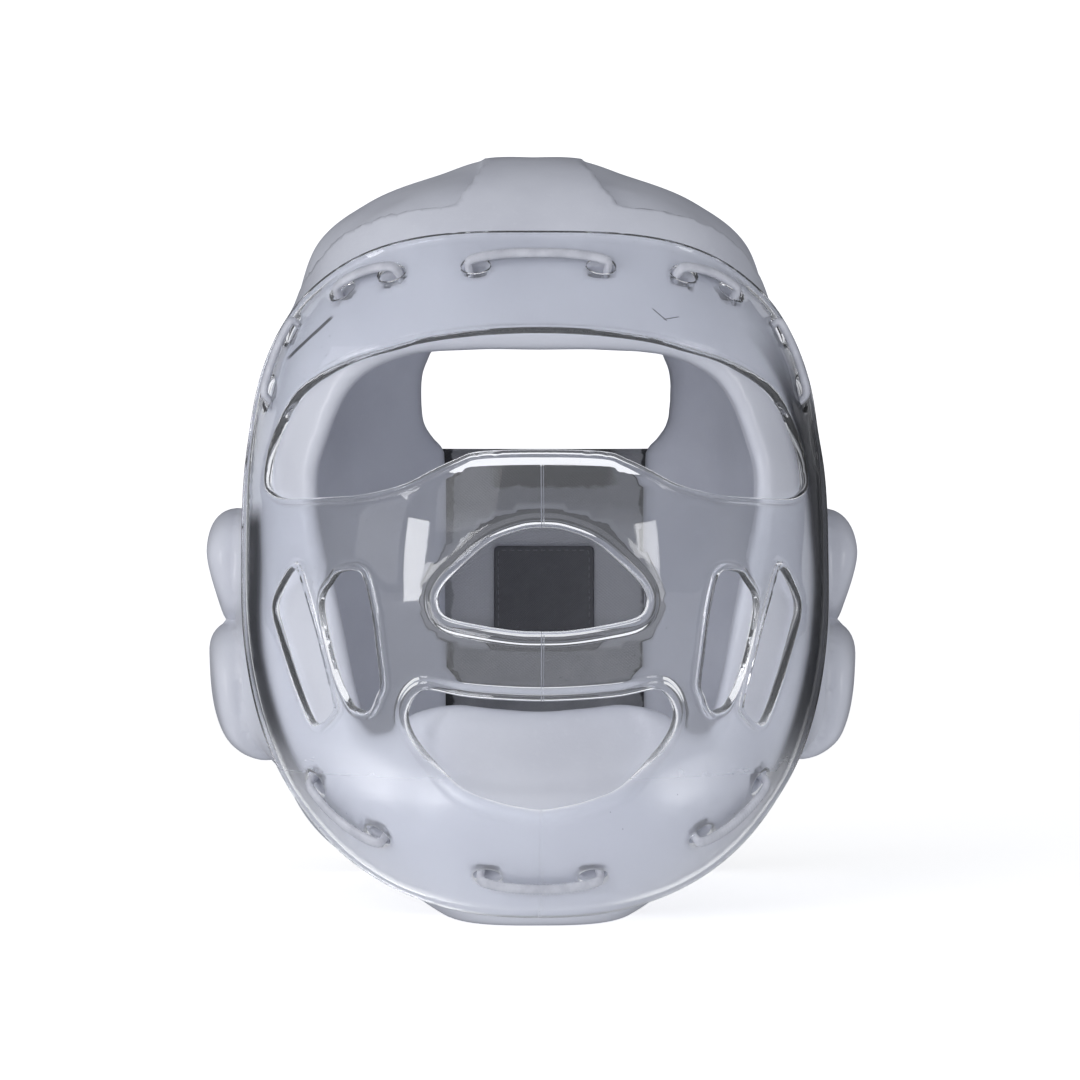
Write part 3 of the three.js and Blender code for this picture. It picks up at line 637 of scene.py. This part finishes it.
def shieldMaterial():
    b = Bench("clearShield")
    smudge = b.noise(34, 4, 0.62)
    streaks = b.noise(120, 3, 0.6, (0.3, 1, 3.5))
    rough = 0.015 + smudge.step(0.52, 0.74) * 0.05 + streaks.step(0.62, 0.8) * 0.04
    rough = rough + (1 - b.z.step(0.05, 0.085)) * 0.26
    seam = 1 - abs(b.x).step(0.00015, 0.0006)
    seam = seam * (1 - b.z.step(0.152, 0.157))
    wave = b.noise(21, 1, 0.4)
    dust = (1 - b.cells(210).step(0.035, 0.06)) * b.noise(19, 2, 0.5).step(0.5, 0.62)
    # painted shade and dark reflection down the sides of the rim, stronger on the right
    along = abs(b.z * 1000 - shield["rimMiddle"]) / shield["rimHalfHeight"]
    outward = abs(b.x) * 1000 / shield["rimHalfWidth"]
    reach = outward ** 2.4 + along ** 2.4 + (wave - 0.5) * 0.08
    leftHalf = 1 - b.x.step(-0.01, 0.01)
    outer = leftHalf * (1 - (1 - reach.step(0.94, 0.98)) * (1 - b.z.step(0.134, 0.145)))
    rim = reach.step(0.82, 0.87) * (1 - outer) * (1 - along.step(0.4, 0.75))
    colour = b.mixed(rim, (0.83, 0.84, 0.865, 1), (0.13, 0.132, 0.14, 1))
    colour = b.mixed(dust, colour, (0.2, 0.2, 0.22, 1))
    normal = b.bump(seam * 1.2 + wave * 3.0, 0.00012, 1.0)
    glass = b.node(
        "ShaderNodeBsdfPrincipled",
        {},
        {"Base Color": colour, "Roughness": rough, "Normal": normal,
         "IOR": 1.54, "Transmission Weight": 0.975},
    )
    lamps = b.node("ShaderNodeBsdfTransparent", {}, {"Color": (0.9, 0.91, 0.93, 1)})
    path = b.node("ShaderNodeLightPath")
    joined = b.node(
        "ShaderNodeMixShader",
        {},
        {0: path.outputs["Is Shadow Ray"], 1: glass.outputs[0], 2: lamps.outputs[0]},
    )
    return b.finish(joined.outputs[0])


def laceMaterial():
    b = Bench("softCord")
    cloud = b.noise(180, 3, 0.5)
    colour = b.mixed(cloud.step(0.3, 0.7), (0.62, 0.63, 0.69, 1), (0.5, 0.51, 0.57, 1))
    body = b.node(
        "ShaderNodeBsdfPrincipled",
        {},
        {"Base Color": colour, "Roughness": 0.22 + cloud * 0.15,
         "Normal": b.bump(cloud, 0.00006, 0.6), "IOR": 1.46},
    )
    return b.finish(body.outputs[0])


def panelMaterial():
    b = Bench("panelFabric")
    loops = b.noise(1500, 2, 0.6)
    cloud = b.noise(70, 4, 0.6)
    ragged = b.noise(160, 3, 0.6)
    # painted shadow: a dark ragged strip under the panel's top edge
    paintedTopShadow = (b.z + ragged * 0.006).step(0.1535, 0.1555)
    paintedTopShadow = paintedTopShadow * b.x.step(-0.016, -0.009) * (1 - b.x.step(0.033, 0.04))
    warp = b.maths("SINE", b.z * 5200)
    weft = b.maths("SINE", b.x * 4200)
    weave = warp * weft * 0.5 + 0.5
    colour = b.mixed(cloud.step(0.3, 0.75), (0.23, 0.233, 0.248, 1), (0.3, 0.303, 0.32, 1))
    # painted light: a lighter stripe across the middle, weaker towards the right
    paintedLitStripe = b.z.step(0.088, 0.102) * (1 - b.z.step(0.132, 0.146))
    paintedLitStripe = paintedLitStripe * (1 - (b.x + cloud * 0.02).step(-0.02, 0.05) * 0.35)
    colour = b.mixed(paintedLitStripe, colour, (0.56, 0.565, 0.595, 1))
    # dark where the gaps along the two wings lie in shadow, as seen from the front;
    # the colours go by place, so they show on the outer face too
    shaded = (abs(b.x - 0.009) + ragged * 0.005 - 0.0025).step(0.0375, 0.0385)
    colour = b.mixed(shaded * (1 - paintedLitStripe * 0.6), colour, (0.035, 0.035, 0.038, 1))
    colour = b.mixed(paintedTopShadow, colour, (0.055, 0.055, 0.052, 1))
    colour = b.mixed(weave * 0.12, colour, (0.15, 0.15, 0.16, 1))
    body = b.node(
        "ShaderNodeBsdfPrincipled",
        {},
        {"Base Color": colour, "Roughness": 0.82 + loops * 0.12,
         "Normal": b.bump(weave + loops * 0.8, 0.00018, 0.5), "Sheen Weight": 0.25,
         "Sheen Roughness": 0.5},
    )
    return b.finish(body.outputs[0])


def patchMaterial():
    b = Bench("patchFabric")
    warp = b.maths("SINE", b.z * 9000)
    weft = b.maths("SINE", b.x * 7000)
    weave = warp * weft * 0.5 + 0.5
    cloud = b.noise(150, 3, 0.6)
    colour = b.mixed(cloud, (0.1, 0.1, 0.107, 1), (0.15, 0.151, 0.16, 1))
    colour = b.mixed(weave * 0.2, colour, (0.13, 0.13, 0.137, 1))
    body = b.node(
        "ShaderNodeBsdfPrincipled",
        {},
        {"Base Color": colour, "Roughness": 0.72 + cloud * 0.15,
         "Normal": b.bump(weave, 0.0002, 0.6)},
    )
    return b.finish(body.outputs[0])


def threadMaterial():
    b = Bench("sewingThread")
    twist = b.noise(1300, 2, 0.5)
    colour = b.mixed(twist, (0.15, 0.151, 0.16, 1), (0.22, 0.222, 0.235, 1))
    body = b.node(
        "ShaderNodeBsdfPrincipled",
        {},
        {"Base Color": colour, "Roughness": 0.6 + twist * 0.2,
         "Normal": b.bump(twist, 0.0001, 0.5)},
    )
    return b.finish(body.outputs[0])


def makeShell():
    pitch, low, high, slab = (shell[key] for key in ("pitch", "low", "high", "slab"))
    counts = np.ceil((high - low) / pitch).astype(int) + 1
    ranges = [low[k] + np.arange(counts[k]) * pitch for k in range(3)]
    field = np.empty(counts)
    for i in range(0, counts[0], slab):
        part = np.stack(np.meshgrid(ranges[0][i:i + slab], *ranges[1:], indexing="ij"), -1)
        field[i:i + slab] = shellField(part)
    points, faces = surfaceNet(field, low, pitch)
    points = evened(points, faces, 2)
    points = settled(points, shellField)
    points[:, 2] = np.maximum(points[:, 2], -middleUp)
    piece = makePiece(
        "padded_shell", points, faces, foamMaterial(), ["foam_shell"]
    )
    tell(f"padded shell, {len(faces)} faces")


def toPlane(ways, facing):  # round the forward or backward axis, where shapes keep their form
    across = np.maximum(np.hypot(ways[..., 0], ways[..., 2]), 1e-9)
    angle = np.arctan2(across, facing * ways[..., 1])
    return ways[..., [0, 2]] * (angle / across * 100)[..., None]


def fromPlane(spots, facing):
    angle = lengthOf(spots) / 100
    share = np.sin(angle) / np.maximum(lengthOf(spots), 1e-9)
    return np.stack([spots[..., 0] * share, facing * np.cos(angle), spots[..., 1] * share], -1)


def nearest(points, line):  # distance to the nearest point of a line
    best = np.empty(len(points))
    square = (line * line).sum(-1)
    for i in range(0, len(points), 4000):
        part = points[i:i + 4000]
        gap = (part * part).sum(-1)[:, None] + square - 2 * part @ line.T
        best[i:i + 4000] = np.sqrt(np.maximum(gap.min(1), 0))
    return best


def makeSheet(name, groups, base, thickness, facing, pitch, material, replaces):
    # groups: each with its loops in space, whether they bound the sheet or are holes in it,
    # ring offsets, and the heights over the base and under it at those offsets
    bounds, edges, rings = [], [], []
    for group in groups:
        group["dense"] = np.vstack([spaced(loop, 0.4) for loop in group["loops"]])
        for loop in group["loops"]:
            start = sum(len(b) for b in bounds)
            line = spaced(loop, group["step"])
            ids = start + np.arange(len(line))
            edges += list(zip(ids.tolist(), np.roll(ids, -1).tolist()))
            bounds.append(line)
            tangent = unit(np.roll(line, -1, 0) - np.roll(line, 1, 0))
            out = unit(np.cross(tangent, unit(line)))
            centre = line.mean(0)
            if ((line - centre) * out).sum() < 0:
                out = -out
            if not group["hole"]:
                out = -out
            for offset in group["offsets"][1:]:
                rings.append((group, offset, line + out * offset))
    boundary = np.vstack(bounds)

    def gapsAt(points):
        surface = unit(points) * base(unit(points))[:, None]
        return [nearest(surface, group["dense"]) for group in groups]

    extra = []
    for group, offset, points in rings:
        gaps = gapsAt(points)
        keep = np.min(gaps, axis=0) > 0.86 * offset
        extra.append(points[keep])
    outer = np.vstack([toPlane(unit(loop), facing) for g in groups if not g["hole"]
                       for loop in g["loops"]])
    low, high = outer.min(0), outer.max(0)
    cell = pitch / np.median(base(fromPlane(outer, facing))) * 100
    rows = np.arange(low[1], high[1], cell * 0.866)
    hexes = [
        np.stack([np.arange(low[0] + (k % 2) * cell / 2, high[0], cell),
                  np.full_like(np.arange(low[0] + (k % 2) * cell / 2, high[0], cell), v)], -1)
        for k, v in enumerate(rows)
    ]
    hexes = fromPlane(np.vstack(hexes), facing)
    hexes = hexes * base(hexes)[:, None]
    far = np.ones(len(hexes), bool)
    for group, gap in zip(groups, gapsAt(hexes)):
        far &= gap > group["offsets"][-1] + 0.55 * pitch
    extra.append(hexes[far])
    extra = np.vstack(extra)
    plane = toPlane(unit(extra), facing)
    keep = np.ones(len(plane), bool)
    for group in groups:
        for loop in group["loops"]:
            within = insideLoop(plane, toPlane(unit(spaced(loop, 0.8)), facing))
            keep &= ~within if group["hole"] else within
    extra = extra[keep]
    _, first = np.unique(np.round(extra / 0.42).astype(int), axis=0, return_index=True)
    extra = extra[np.sort(first)]
    spots = np.vstack([toPlane(unit(boundary), facing), toPlane(unit(extra), facing)])
    made = delaunay_2d_cdt([Vector(s) for s in spots], edges, [], 0, 1e-5)
    spots = np.array([v[:] for v in made[0]])
    onEdge = np.array([any(i < len(boundary) for i in ids) for ids in made[3]])
    triangles = np.array([f for f in made[2] if len(f) == 3])
    middles = spots[triangles].mean(1)
    keep = np.ones(len(triangles), bool)
    for group in groups:
        for loop in group["loops"]:
            line = toPlane(unit(spaced(loop, group["step"])), facing)
            within = insideLoop(middles, line)
            keep &= ~within if group["hole"] else within
    triangles = triangles[keep]
    ways = fromPlane(spots, facing)
    under = base(ways)
    surface = ways * under[:, None]
    rise = np.zeros(len(ways))
    sink = np.zeros(len(ways))
    for group in groups:
        gap = nearest(surface, group["dense"])
        rise += np.interp(gap, group["offsets"], group["outside"])
        sink += np.interp(gap, group["offsets"], group["inside"])
    top = under + thickness + rise
    bottom = under + sink
    top[onEdge] = bottom[onEdge] = (under + thickness / 2)[onEdge]
    used = np.unique(triangles)
    ids = np.full(len(ways), -1)
    ids[used] = np.arange(len(used))
    inner = ids.copy()
    loose = used[~onEdge[used]]
    inner[loose] = len(used) + np.arange(len(loose))
    points = np.vstack([ways[used] * top[used][:, None], ways[loose] * bottom[loose][:, None]])
    a, b, c = (ways[triangles[:, k]] for k in range(3))
    turned = ((np.cross(b - a, c - a) * a).sum(-1) > 0)
    triangles = np.where(turned[:, None], triangles, triangles[:, ::-1])
    # the frame's y runs against forward, which turns the faces over
    faces = np.vstack([ids[triangles][:, ::-1], inner[triangles]])
    makePiece(name, points, faces, material, replaces)
    tell(f"{name}, {len(faces)} faces")


def makeShield():
    count = shield["rimPoints"]
    turn = np.linspace(0, 2 * math.pi, count + 1)[:-1]
    near, far = np.full(count, 0.3), np.full(count, 0.62 * math.pi)
    for _ in range(34):
        angle = (near + far) / 2
        ways = np.stack(
            [np.sin(angle) * np.cos(turn), np.cos(angle), np.sin(angle) * np.sin(turn)], -1
        )
        p = ways * shieldOutside(ways)[:, None]
        up = (p[:, 2] + middleUp - shield["rimMiddle"]) / shield["rimHalfHeight"]
        power = np.where(up > 0, *shield["rimPowers"])
        inside = np.abs(p[:, 0] / shield["rimHalfWidth"]) ** power + np.abs(up) ** power < 1
        near, far = np.where(inside, angle, near), np.where(inside, far, angle)
    rim = ways * shieldInside(ways)[:, None]

    def lifted(spots):
        p = facePoint(smoothLine(spots, 8), shieldOutside)
        return unit(p) * shieldInside(unit(p))[:, None]

    def vent(rows, near, width, bottom, height, side):
        return [(side * (near + x * width), bottom + z * height) for x, z in rows]

    breathing = [
        lifted(mirrored(noseRows, *shield["nose"])),
        lifted(mirrored(mouthRows, *shield["mouth"])),
    ]
    windows = [lifted(mirrored(eyeRows, *shield["eye"]))]
    for side in (-1, 1):
        windows.append(lifted(vent(outerVentRows, *shield["outerVent"], side)))
        windows.append(lifted(vent(innerVentRows, *shield["innerVent"], side)))
    holes = []
    for centre, along, across in laceHoles:
        shape = oval(0, 0, laces["holeLength"] / 2, laces["holeWidth"] / 2, 40)
        ways = unit(centre + shape[:, :1] * along + shape[:, 1:] * across)
        holes.append(ways * shieldInside(ways)[:, None])
    groups = [
        {"loops": [rim], "hole": False, "step": 1.6,
         "offsets": [0, 0.25, 0.7, 1.4, 2.1, 2.8, 3.6],
         "outside": [0, 0.1, 0.8, 1.2, 1.05, 0.3, 0],
         "inside": [0, 0.3, 0.05, 0, 0, 0, 0]},
        {"loops": breathing, "hole": True, "step": 1.5,
         "offsets": [0, 0.35, 0.9, 1.8, 2.8, 3.7, 4.4, 5.2],
         "outside": [0, 0.3, 0.95, 1.3, 1.2, 0.8, 0.25, 0],
         "inside": [0, 0.25, 0, 0, 0, 0, 0, 0]},
        {"loops": windows, "hole": True, "step": 1.4,
         "offsets": [0, 0.25, 0.6, 1.1, 1.7, 2.2, 2.8, 3.4],
         "outside": [0, 0.25, 0.75, 1.0, 0.9, 0.5, 0.15, 0],
         "inside": [0, 0.25, 0, 0, 0, 0, 0, 0]},
        {"loops": holes, "hole": True, "step": 1.3,
         "offsets": [0, 0.3, 0.8, 1.5],
         "outside": [0, -0.35, -0.08, 0],
         "inside": [0, 0.3, 0.05, 0]},
    ]
    makeSheet("clear_shield", groups, shieldInside, shield["wall"], 1, 3.0,
              shieldMaterial(), ["face_shield"])


def makeTube(path, side, halfWide, halfThick, ribs, around=18):
    tangent = unit(np.gradient(path, axis=0))
    thick = unit(np.cross(side, tangent))
    wide = np.cross(tangent, thick)
    turn = np.arange(around) * 2 * math.pi / around
    along = np.r_[0, np.cumsum(lengthOf(np.diff(path, axis=0)))]
    swell = ribs[1] * np.cos(2 * math.pi * along / ribs[0]) if ribs[1] else np.zeros(len(along))
    ends = np.minimum(along, along[-1] - along)
    close = np.sqrt(1 - np.clip(1 - ends / halfThick, 0, 1) ** 2)
    rings = []
    for t in turn:
        w = ((halfWide + swell) * close * math.cos(t))[:, None] * wide
        rings.append(path + w + ((halfThick + swell) * close * math.sin(t))[:, None] * thick)
    points = np.stack(rings, 1).reshape(-1, 3)
    faces = []
    for k in range(len(path) - 1):
        for i in range(around):
            p, q = k * around + i, k * around + (i + 1) % around
            faces.append((p, p + around, q + around, q))
    last = (len(path) - 1) * around
    faces.append(tuple(range(around)))
    faces.append(tuple(last + i for i in reversed(range(around))))
    return points, faces


def slantedOutside(way):  # the shield's height with room for a lace where it slants
    spot = way * shieldOutside(way)
    near = [
        unit(spot + np.array([x, 0, z]) * laces["thickness"] / 4)
        for x in (-1, 0, 1) for z in (-1, 0, 1)
    ]
    return max(shieldOutside(n) for n in near)


def makeLaces():
    material = laceMaterial()
    rise = laces["clearance"] + laces["thickness"] / 2
    for name, (a, b) in stitches:
        spanWay = unit(b - a)
        centre = (a + b) / 2
        across = unit(np.cross(unit(centre), spanWay))
        bowWay = unit(np.array([centre[0], 0, centre[2]]))

        def leg(end, inward):
            way = unit(end)
            skin, out = skinRadius(way), shieldOutside(way)
            return [
                way * (skin + laces["thickness"] / 2 - shell["laceDepth"]),
                way * (skin - 1.0),
                way * (out - laces["thickness"] / 3),
                way * (slantedOutside(way) + rise * 0.8) + inward * laces["thickness"] * 0.3,
            ]

        spans = []
        for t in np.linspace(0.1, 0.9, 9):
            p = a + (b - a) * t + bowWay * 4 * laces["bow"] * t * (1 - t)
            spans.append(unit(p) * (slantedOutside(unit(p)) + rise))
        path = leg(a, spanWay) + spans + leg(b, -spanWay)[::-1]
        path = spaced(smoothLine(path, 10, closed=False), 0.38, closed=False)
        points, faces = makeTube(
            path, across, laces["width"] / 2, laces["thickness"] / 2,
            (laces["ribPitch"], laces["ribHeight"]),
        )
        makePiece("lace_" + name[5:], points, faces, material, [name])
    tell("laces")


panel = {
    "wall": 3.4,
    "gap": 0.4,
    "halfWidth": 57.0,
    "bottom": 38.0,
    "top": 166.0,
    "corner": 9.0,
    "patch": (40.0, 36.0, 109.6, 0.8),  # width, height, middle height, wall
    "seamInset": 5.8,
    "boxSide": 40,  # the two stitched boxes, from the panel's middle
    "boxHalfWidth": 9.0,
    "boxInset": 12,
    "patchSeam": 1.6,
    "patchStitch": (2.2, 0.9, 0.26),  # length, gap, radius
}


def roundedBox(centreX, halfWidth, bottom, top, corner):
    loop = []
    for side, z, start in ((1, bottom, -90), (1, top, 0), (-1, top, 90), (-1, bottom, 180)):
        for step in np.linspace(0, 90, 8):
            turn = math.radians(start + step)
            inward = corner if z == bottom else -corner
            loop.append((
                centreX + side * (halfWidth - corner) + corner * math.cos(turn),
                z + inward + corner * math.sin(turn),
            ))
    return np.array(loop)


def backLoop(loop, radiusOf, step=1.2):
    return facePoint(spaced(loop, step), radiusOf, -1)


def stitchRow(loop, radiusOf, lift, length=2.7, gap=1.1, radius=0.34):
    line = spaced(facePoint(spaced(loop, 1.0), radiusOf, -1), 0.45)
    per = max(2, int(round(length / 0.45)))
    period = max(per + 1, int(round((length + gap) / 0.45)))
    points, faces = [], []
    for start in range(0, len(line) - per, period):
        part = line[start:start + per + 1]
        way = unit(part)
        t = np.linspace(0, 1, len(part))
        height = lift + radius * (4 * t * (1 - t)) ** 0.5 - 0.25
        path = way * (radiusOf(way) + height)[:, None]
        side = np.cross(way.mean(0), part[-1] - part[0])
        p, f = makeTube(path, unit(side), radius, radius, (1, 0), around=7)
        base = sum(len(q) for q in points)
        points.append(p)
        faces += [tuple(base + i for i in face) for face in f]
    return points, faces


def makePanel():
    def base(ways):
        return skinRadius(ways) + panel["gap"]

    def loopAt(inset):
        return roundedBox(closureShift, panel["halfWidth"] - inset, panel["bottom"] + inset,
                          panel["top"] - inset, max(panel["corner"] - inset, 2.0))

    groups = [
        {"loops": [backLoop(loopAt(0), base)], "hole": False, "step": 1.6,
         "offsets": [0, 0.4, 1.1, 2.2, 4.6, 5.6, 6.6, 8.0],
         "outside": [0, -0.5, 0.05, 0.25, 0.2, -0.35, -0.3, 0],
         "inside": [0, 0.5, 0.05, 0, 0, 0.2, 0.1, 0]},
    ]
    makeSheet("rear_panel", groups, base, panel["wall"], -1, 2.6, panelMaterial(),
              ["closure_panel"])

    width, height, up, wall = panel["patch"]

    def patchBase(ways):
        return skinRadius(ways) - wall

    patchLoop = roundedBox(closureShift, width / 2, up - height / 2, up + height / 2, 1.6)
    groups = [
        {"loops": [backLoop(patchLoop, patchBase, 0.8)], "hole": False, "step": 0.9,
         "offsets": [0, 0.3, 0.9, 1.6, 2.2],
         "outside": [0, 0, 0, 0, 0],
         "inside": [0, -0.1, -0.15, -0.1, 0]},
    ]
    makeSheet("bare_patch", groups, patchBase, wall, -1, 1.4, patchMaterial(),
              ["label_patch"])

    thread = threadMaterial()
    points, faces = [], []

    def addRow(loop, lift, stitch=()):
        p, f = stitchRow(loop, skinRadius, lift, *stitch)
        base = sum(len(q) for q in points)
        points.extend(p)
        faces.extend(tuple(base + i for i in face) for face in f)

    outside = panel["gap"] + panel["wall"]
    addRow(loopAt(panel["seamInset"]), outside - 0.1)
    low, high = panel["bottom"] + panel["boxInset"], panel["top"] - panel["boxInset"]
    for side in (-1, 1):
        centre = closureShift + side * panel["boxSide"]
        addRow(roundedBox(centre, panel["boxHalfWidth"], low, high, 2.0), outside + 0.25)
    seam = panel["patchSeam"]
    box = roundedBox(closureShift, width / 2 - seam, up - height / 2 + seam,
                     up + height / 2 - seam, 1.2)
    addRow(box, -wall - 0.1, panel["patchStitch"])
    makePiece("panel_stitching", np.vstack(points), faces, thread, ())
    tell("rear panel, patch and stitching")


stage = {
    "halfWidth": 2.6,
    "front": -2.2,
    "bendStart": 1.2,
    "bendRadius": 0.7,
    "top": 2.6,
    "glow": 0.66,
}


def makeStage():
    b = Bench("paleFloor")
    grain = b.noise(40, 3, 0.5)
    colour = b.mixed(grain, (0.86, 0.86, 0.865, 1), (0.88, 0.88, 0.885, 1))
    body = b.node(
        "ShaderNodeBsdfPrincipled",
        {},
        {"Base Color": colour, "Roughness": 0.9 + grain * 0.05, "Specular IOR Level": 0.1,
         "Emission Color": (1, 1, 1, 1), "Emission Strength": stage["glow"]},
    )
    material = b.finish(body.outputs[0])
    start, radius, half = stage["bendStart"], stage["bendRadius"], stage["halfWidth"]
    profile = [(stage["front"], 0.0), (start, 0.0)]
    for turn in np.linspace(0, math.pi / 2, 16)[1:]:
        profile.append((start + radius * math.sin(turn), radius - radius * math.cos(turn)))
    profile.append((start + radius, stage["top"]))
    points = [(x, y, z) for y, z in profile for x in (-half, half)]
    faces = [(2 * k, 2 * k + 1, 2 * k + 3, 2 * k + 2) for k in range(len(profile) - 1)]
    mesh = bpy.data.meshes.new("studioSweep")
    mesh.from_pydata(points, [], faces)
    mesh.shade_smooth()
    sweep = bpy.data.objects.new("studio_sweep", mesh)
    bpy.context.scene.collection.objects.link(sweep)
    mesh.materials.append(material)
    # the white surroundings are seen, and stay out of the light on the headgear
    sweep.visible_diffuse = False
    sweep.visible_glossy = False
    sweep.visible_shadow = False


lights = {
    "distance": 1.5,
    "aim": (0, -0.1, 0.125),
    "world": {
        "tint": (0.93, 0.95, 1.0, 1),
        "even": 0.52,
        "behind": (0.1, 0.6, 0.9),  # it dims behind the headgear, which darkens the edges
        "below": 0.45,
        "left": 0.12,
    },
    # turn from the front, height, size and power of each box
    "boxes": {
        "left_key": (-35, 0.9, (0.8, 0.8), 2.5),
        "left_fill": (-27, 0.2, (0.4, 0.4), 3.2),
        "left_side": (-75, 0.5, (0.6, 0.8), 1.8),
        "left_window": (-56, 0.27, (0.26, 0.56), 2.6),
        "right_window": (50, 0.27, (0.26, 0.56), 2.0),
    },
}


def addLamp(name, place, target, size, power):
    data = bpy.data.lights.new(name, "AREA")
    data.shape = "RECTANGLE"
    data.size, data.size_y = size
    data.energy = power
    lamp = bpy.data.objects.new(name, data)
    bpy.context.scene.collection.objects.link(lamp)
    lamp.location = place
    lamp.rotation_euler = (Vector(target) - Vector(place)).to_track_quat("-Z", "Y").to_euler()
    return lamp


def makeLights():
    glow, reach = lights["world"], lights["distance"]
    b = Bench("studio", world=True)
    low, high, share = glow["behind"]
    even = (1 - b.y.step(low, high) * share) * glow["even"]
    ring = (0 - b.y).step(0.1, 0.55) * (1 - (0 - b.y).step(0.74, 0.93))
    left = ring * (0 - b.x).step(-0.15, 0.35) * b.z.step(-0.35, 0.1) * glow["left"]
    below = (0 - b.z).step(0.5, 0.95) * glow["below"]
    sky = b.node(
        "ShaderNodeBackground", {}, {"Color": glow["tint"], "Strength": even + left + below}
    )
    bpy.context.scene.world = b.finish(sky.outputs[0], "ShaderNodeOutputWorld")
    for label, (degrees, height, size, power) in lights["boxes"].items():
        turn = math.radians(degrees)
        place = (reach * math.sin(turn), -reach * math.cos(turn), height)
        lamp = addLamp(label, place, lights["aim"], size, power)
        lamp.visible_glossy = "window" in label  # the soft boxes leave no glint on the shield


view = {
    "lens": 104.73,
    "sensor": 36,
    "clip": (0.05, 30),
    "place": (-0.0301, -1.1385, 0.130),
    "turn": -1.655,  # degrees
}


def makeCamera():
    data = bpy.data.cameras.new("photoView")
    data.lens = view["lens"]
    data.sensor_width = view["sensor"]
    data.clip_start, data.clip_end = view["clip"]
    camera = bpy.data.objects.new("photoView", data)
    bpy.context.scene.collection.objects.link(camera)
    camera.location = view["place"]
    camera.rotation_euler = (math.pi / 2, 0, math.radians(view["turn"]))
    bpy.context.scene.camera = camera


bpy.context.scene.view_settings.view_transform = "Standard"
makeCamera()
makeLights()
makeStage()
makeShield()
makeLaces()
makePanel()
makeShell()

bpy.context.view_layer.update()
tell("done")
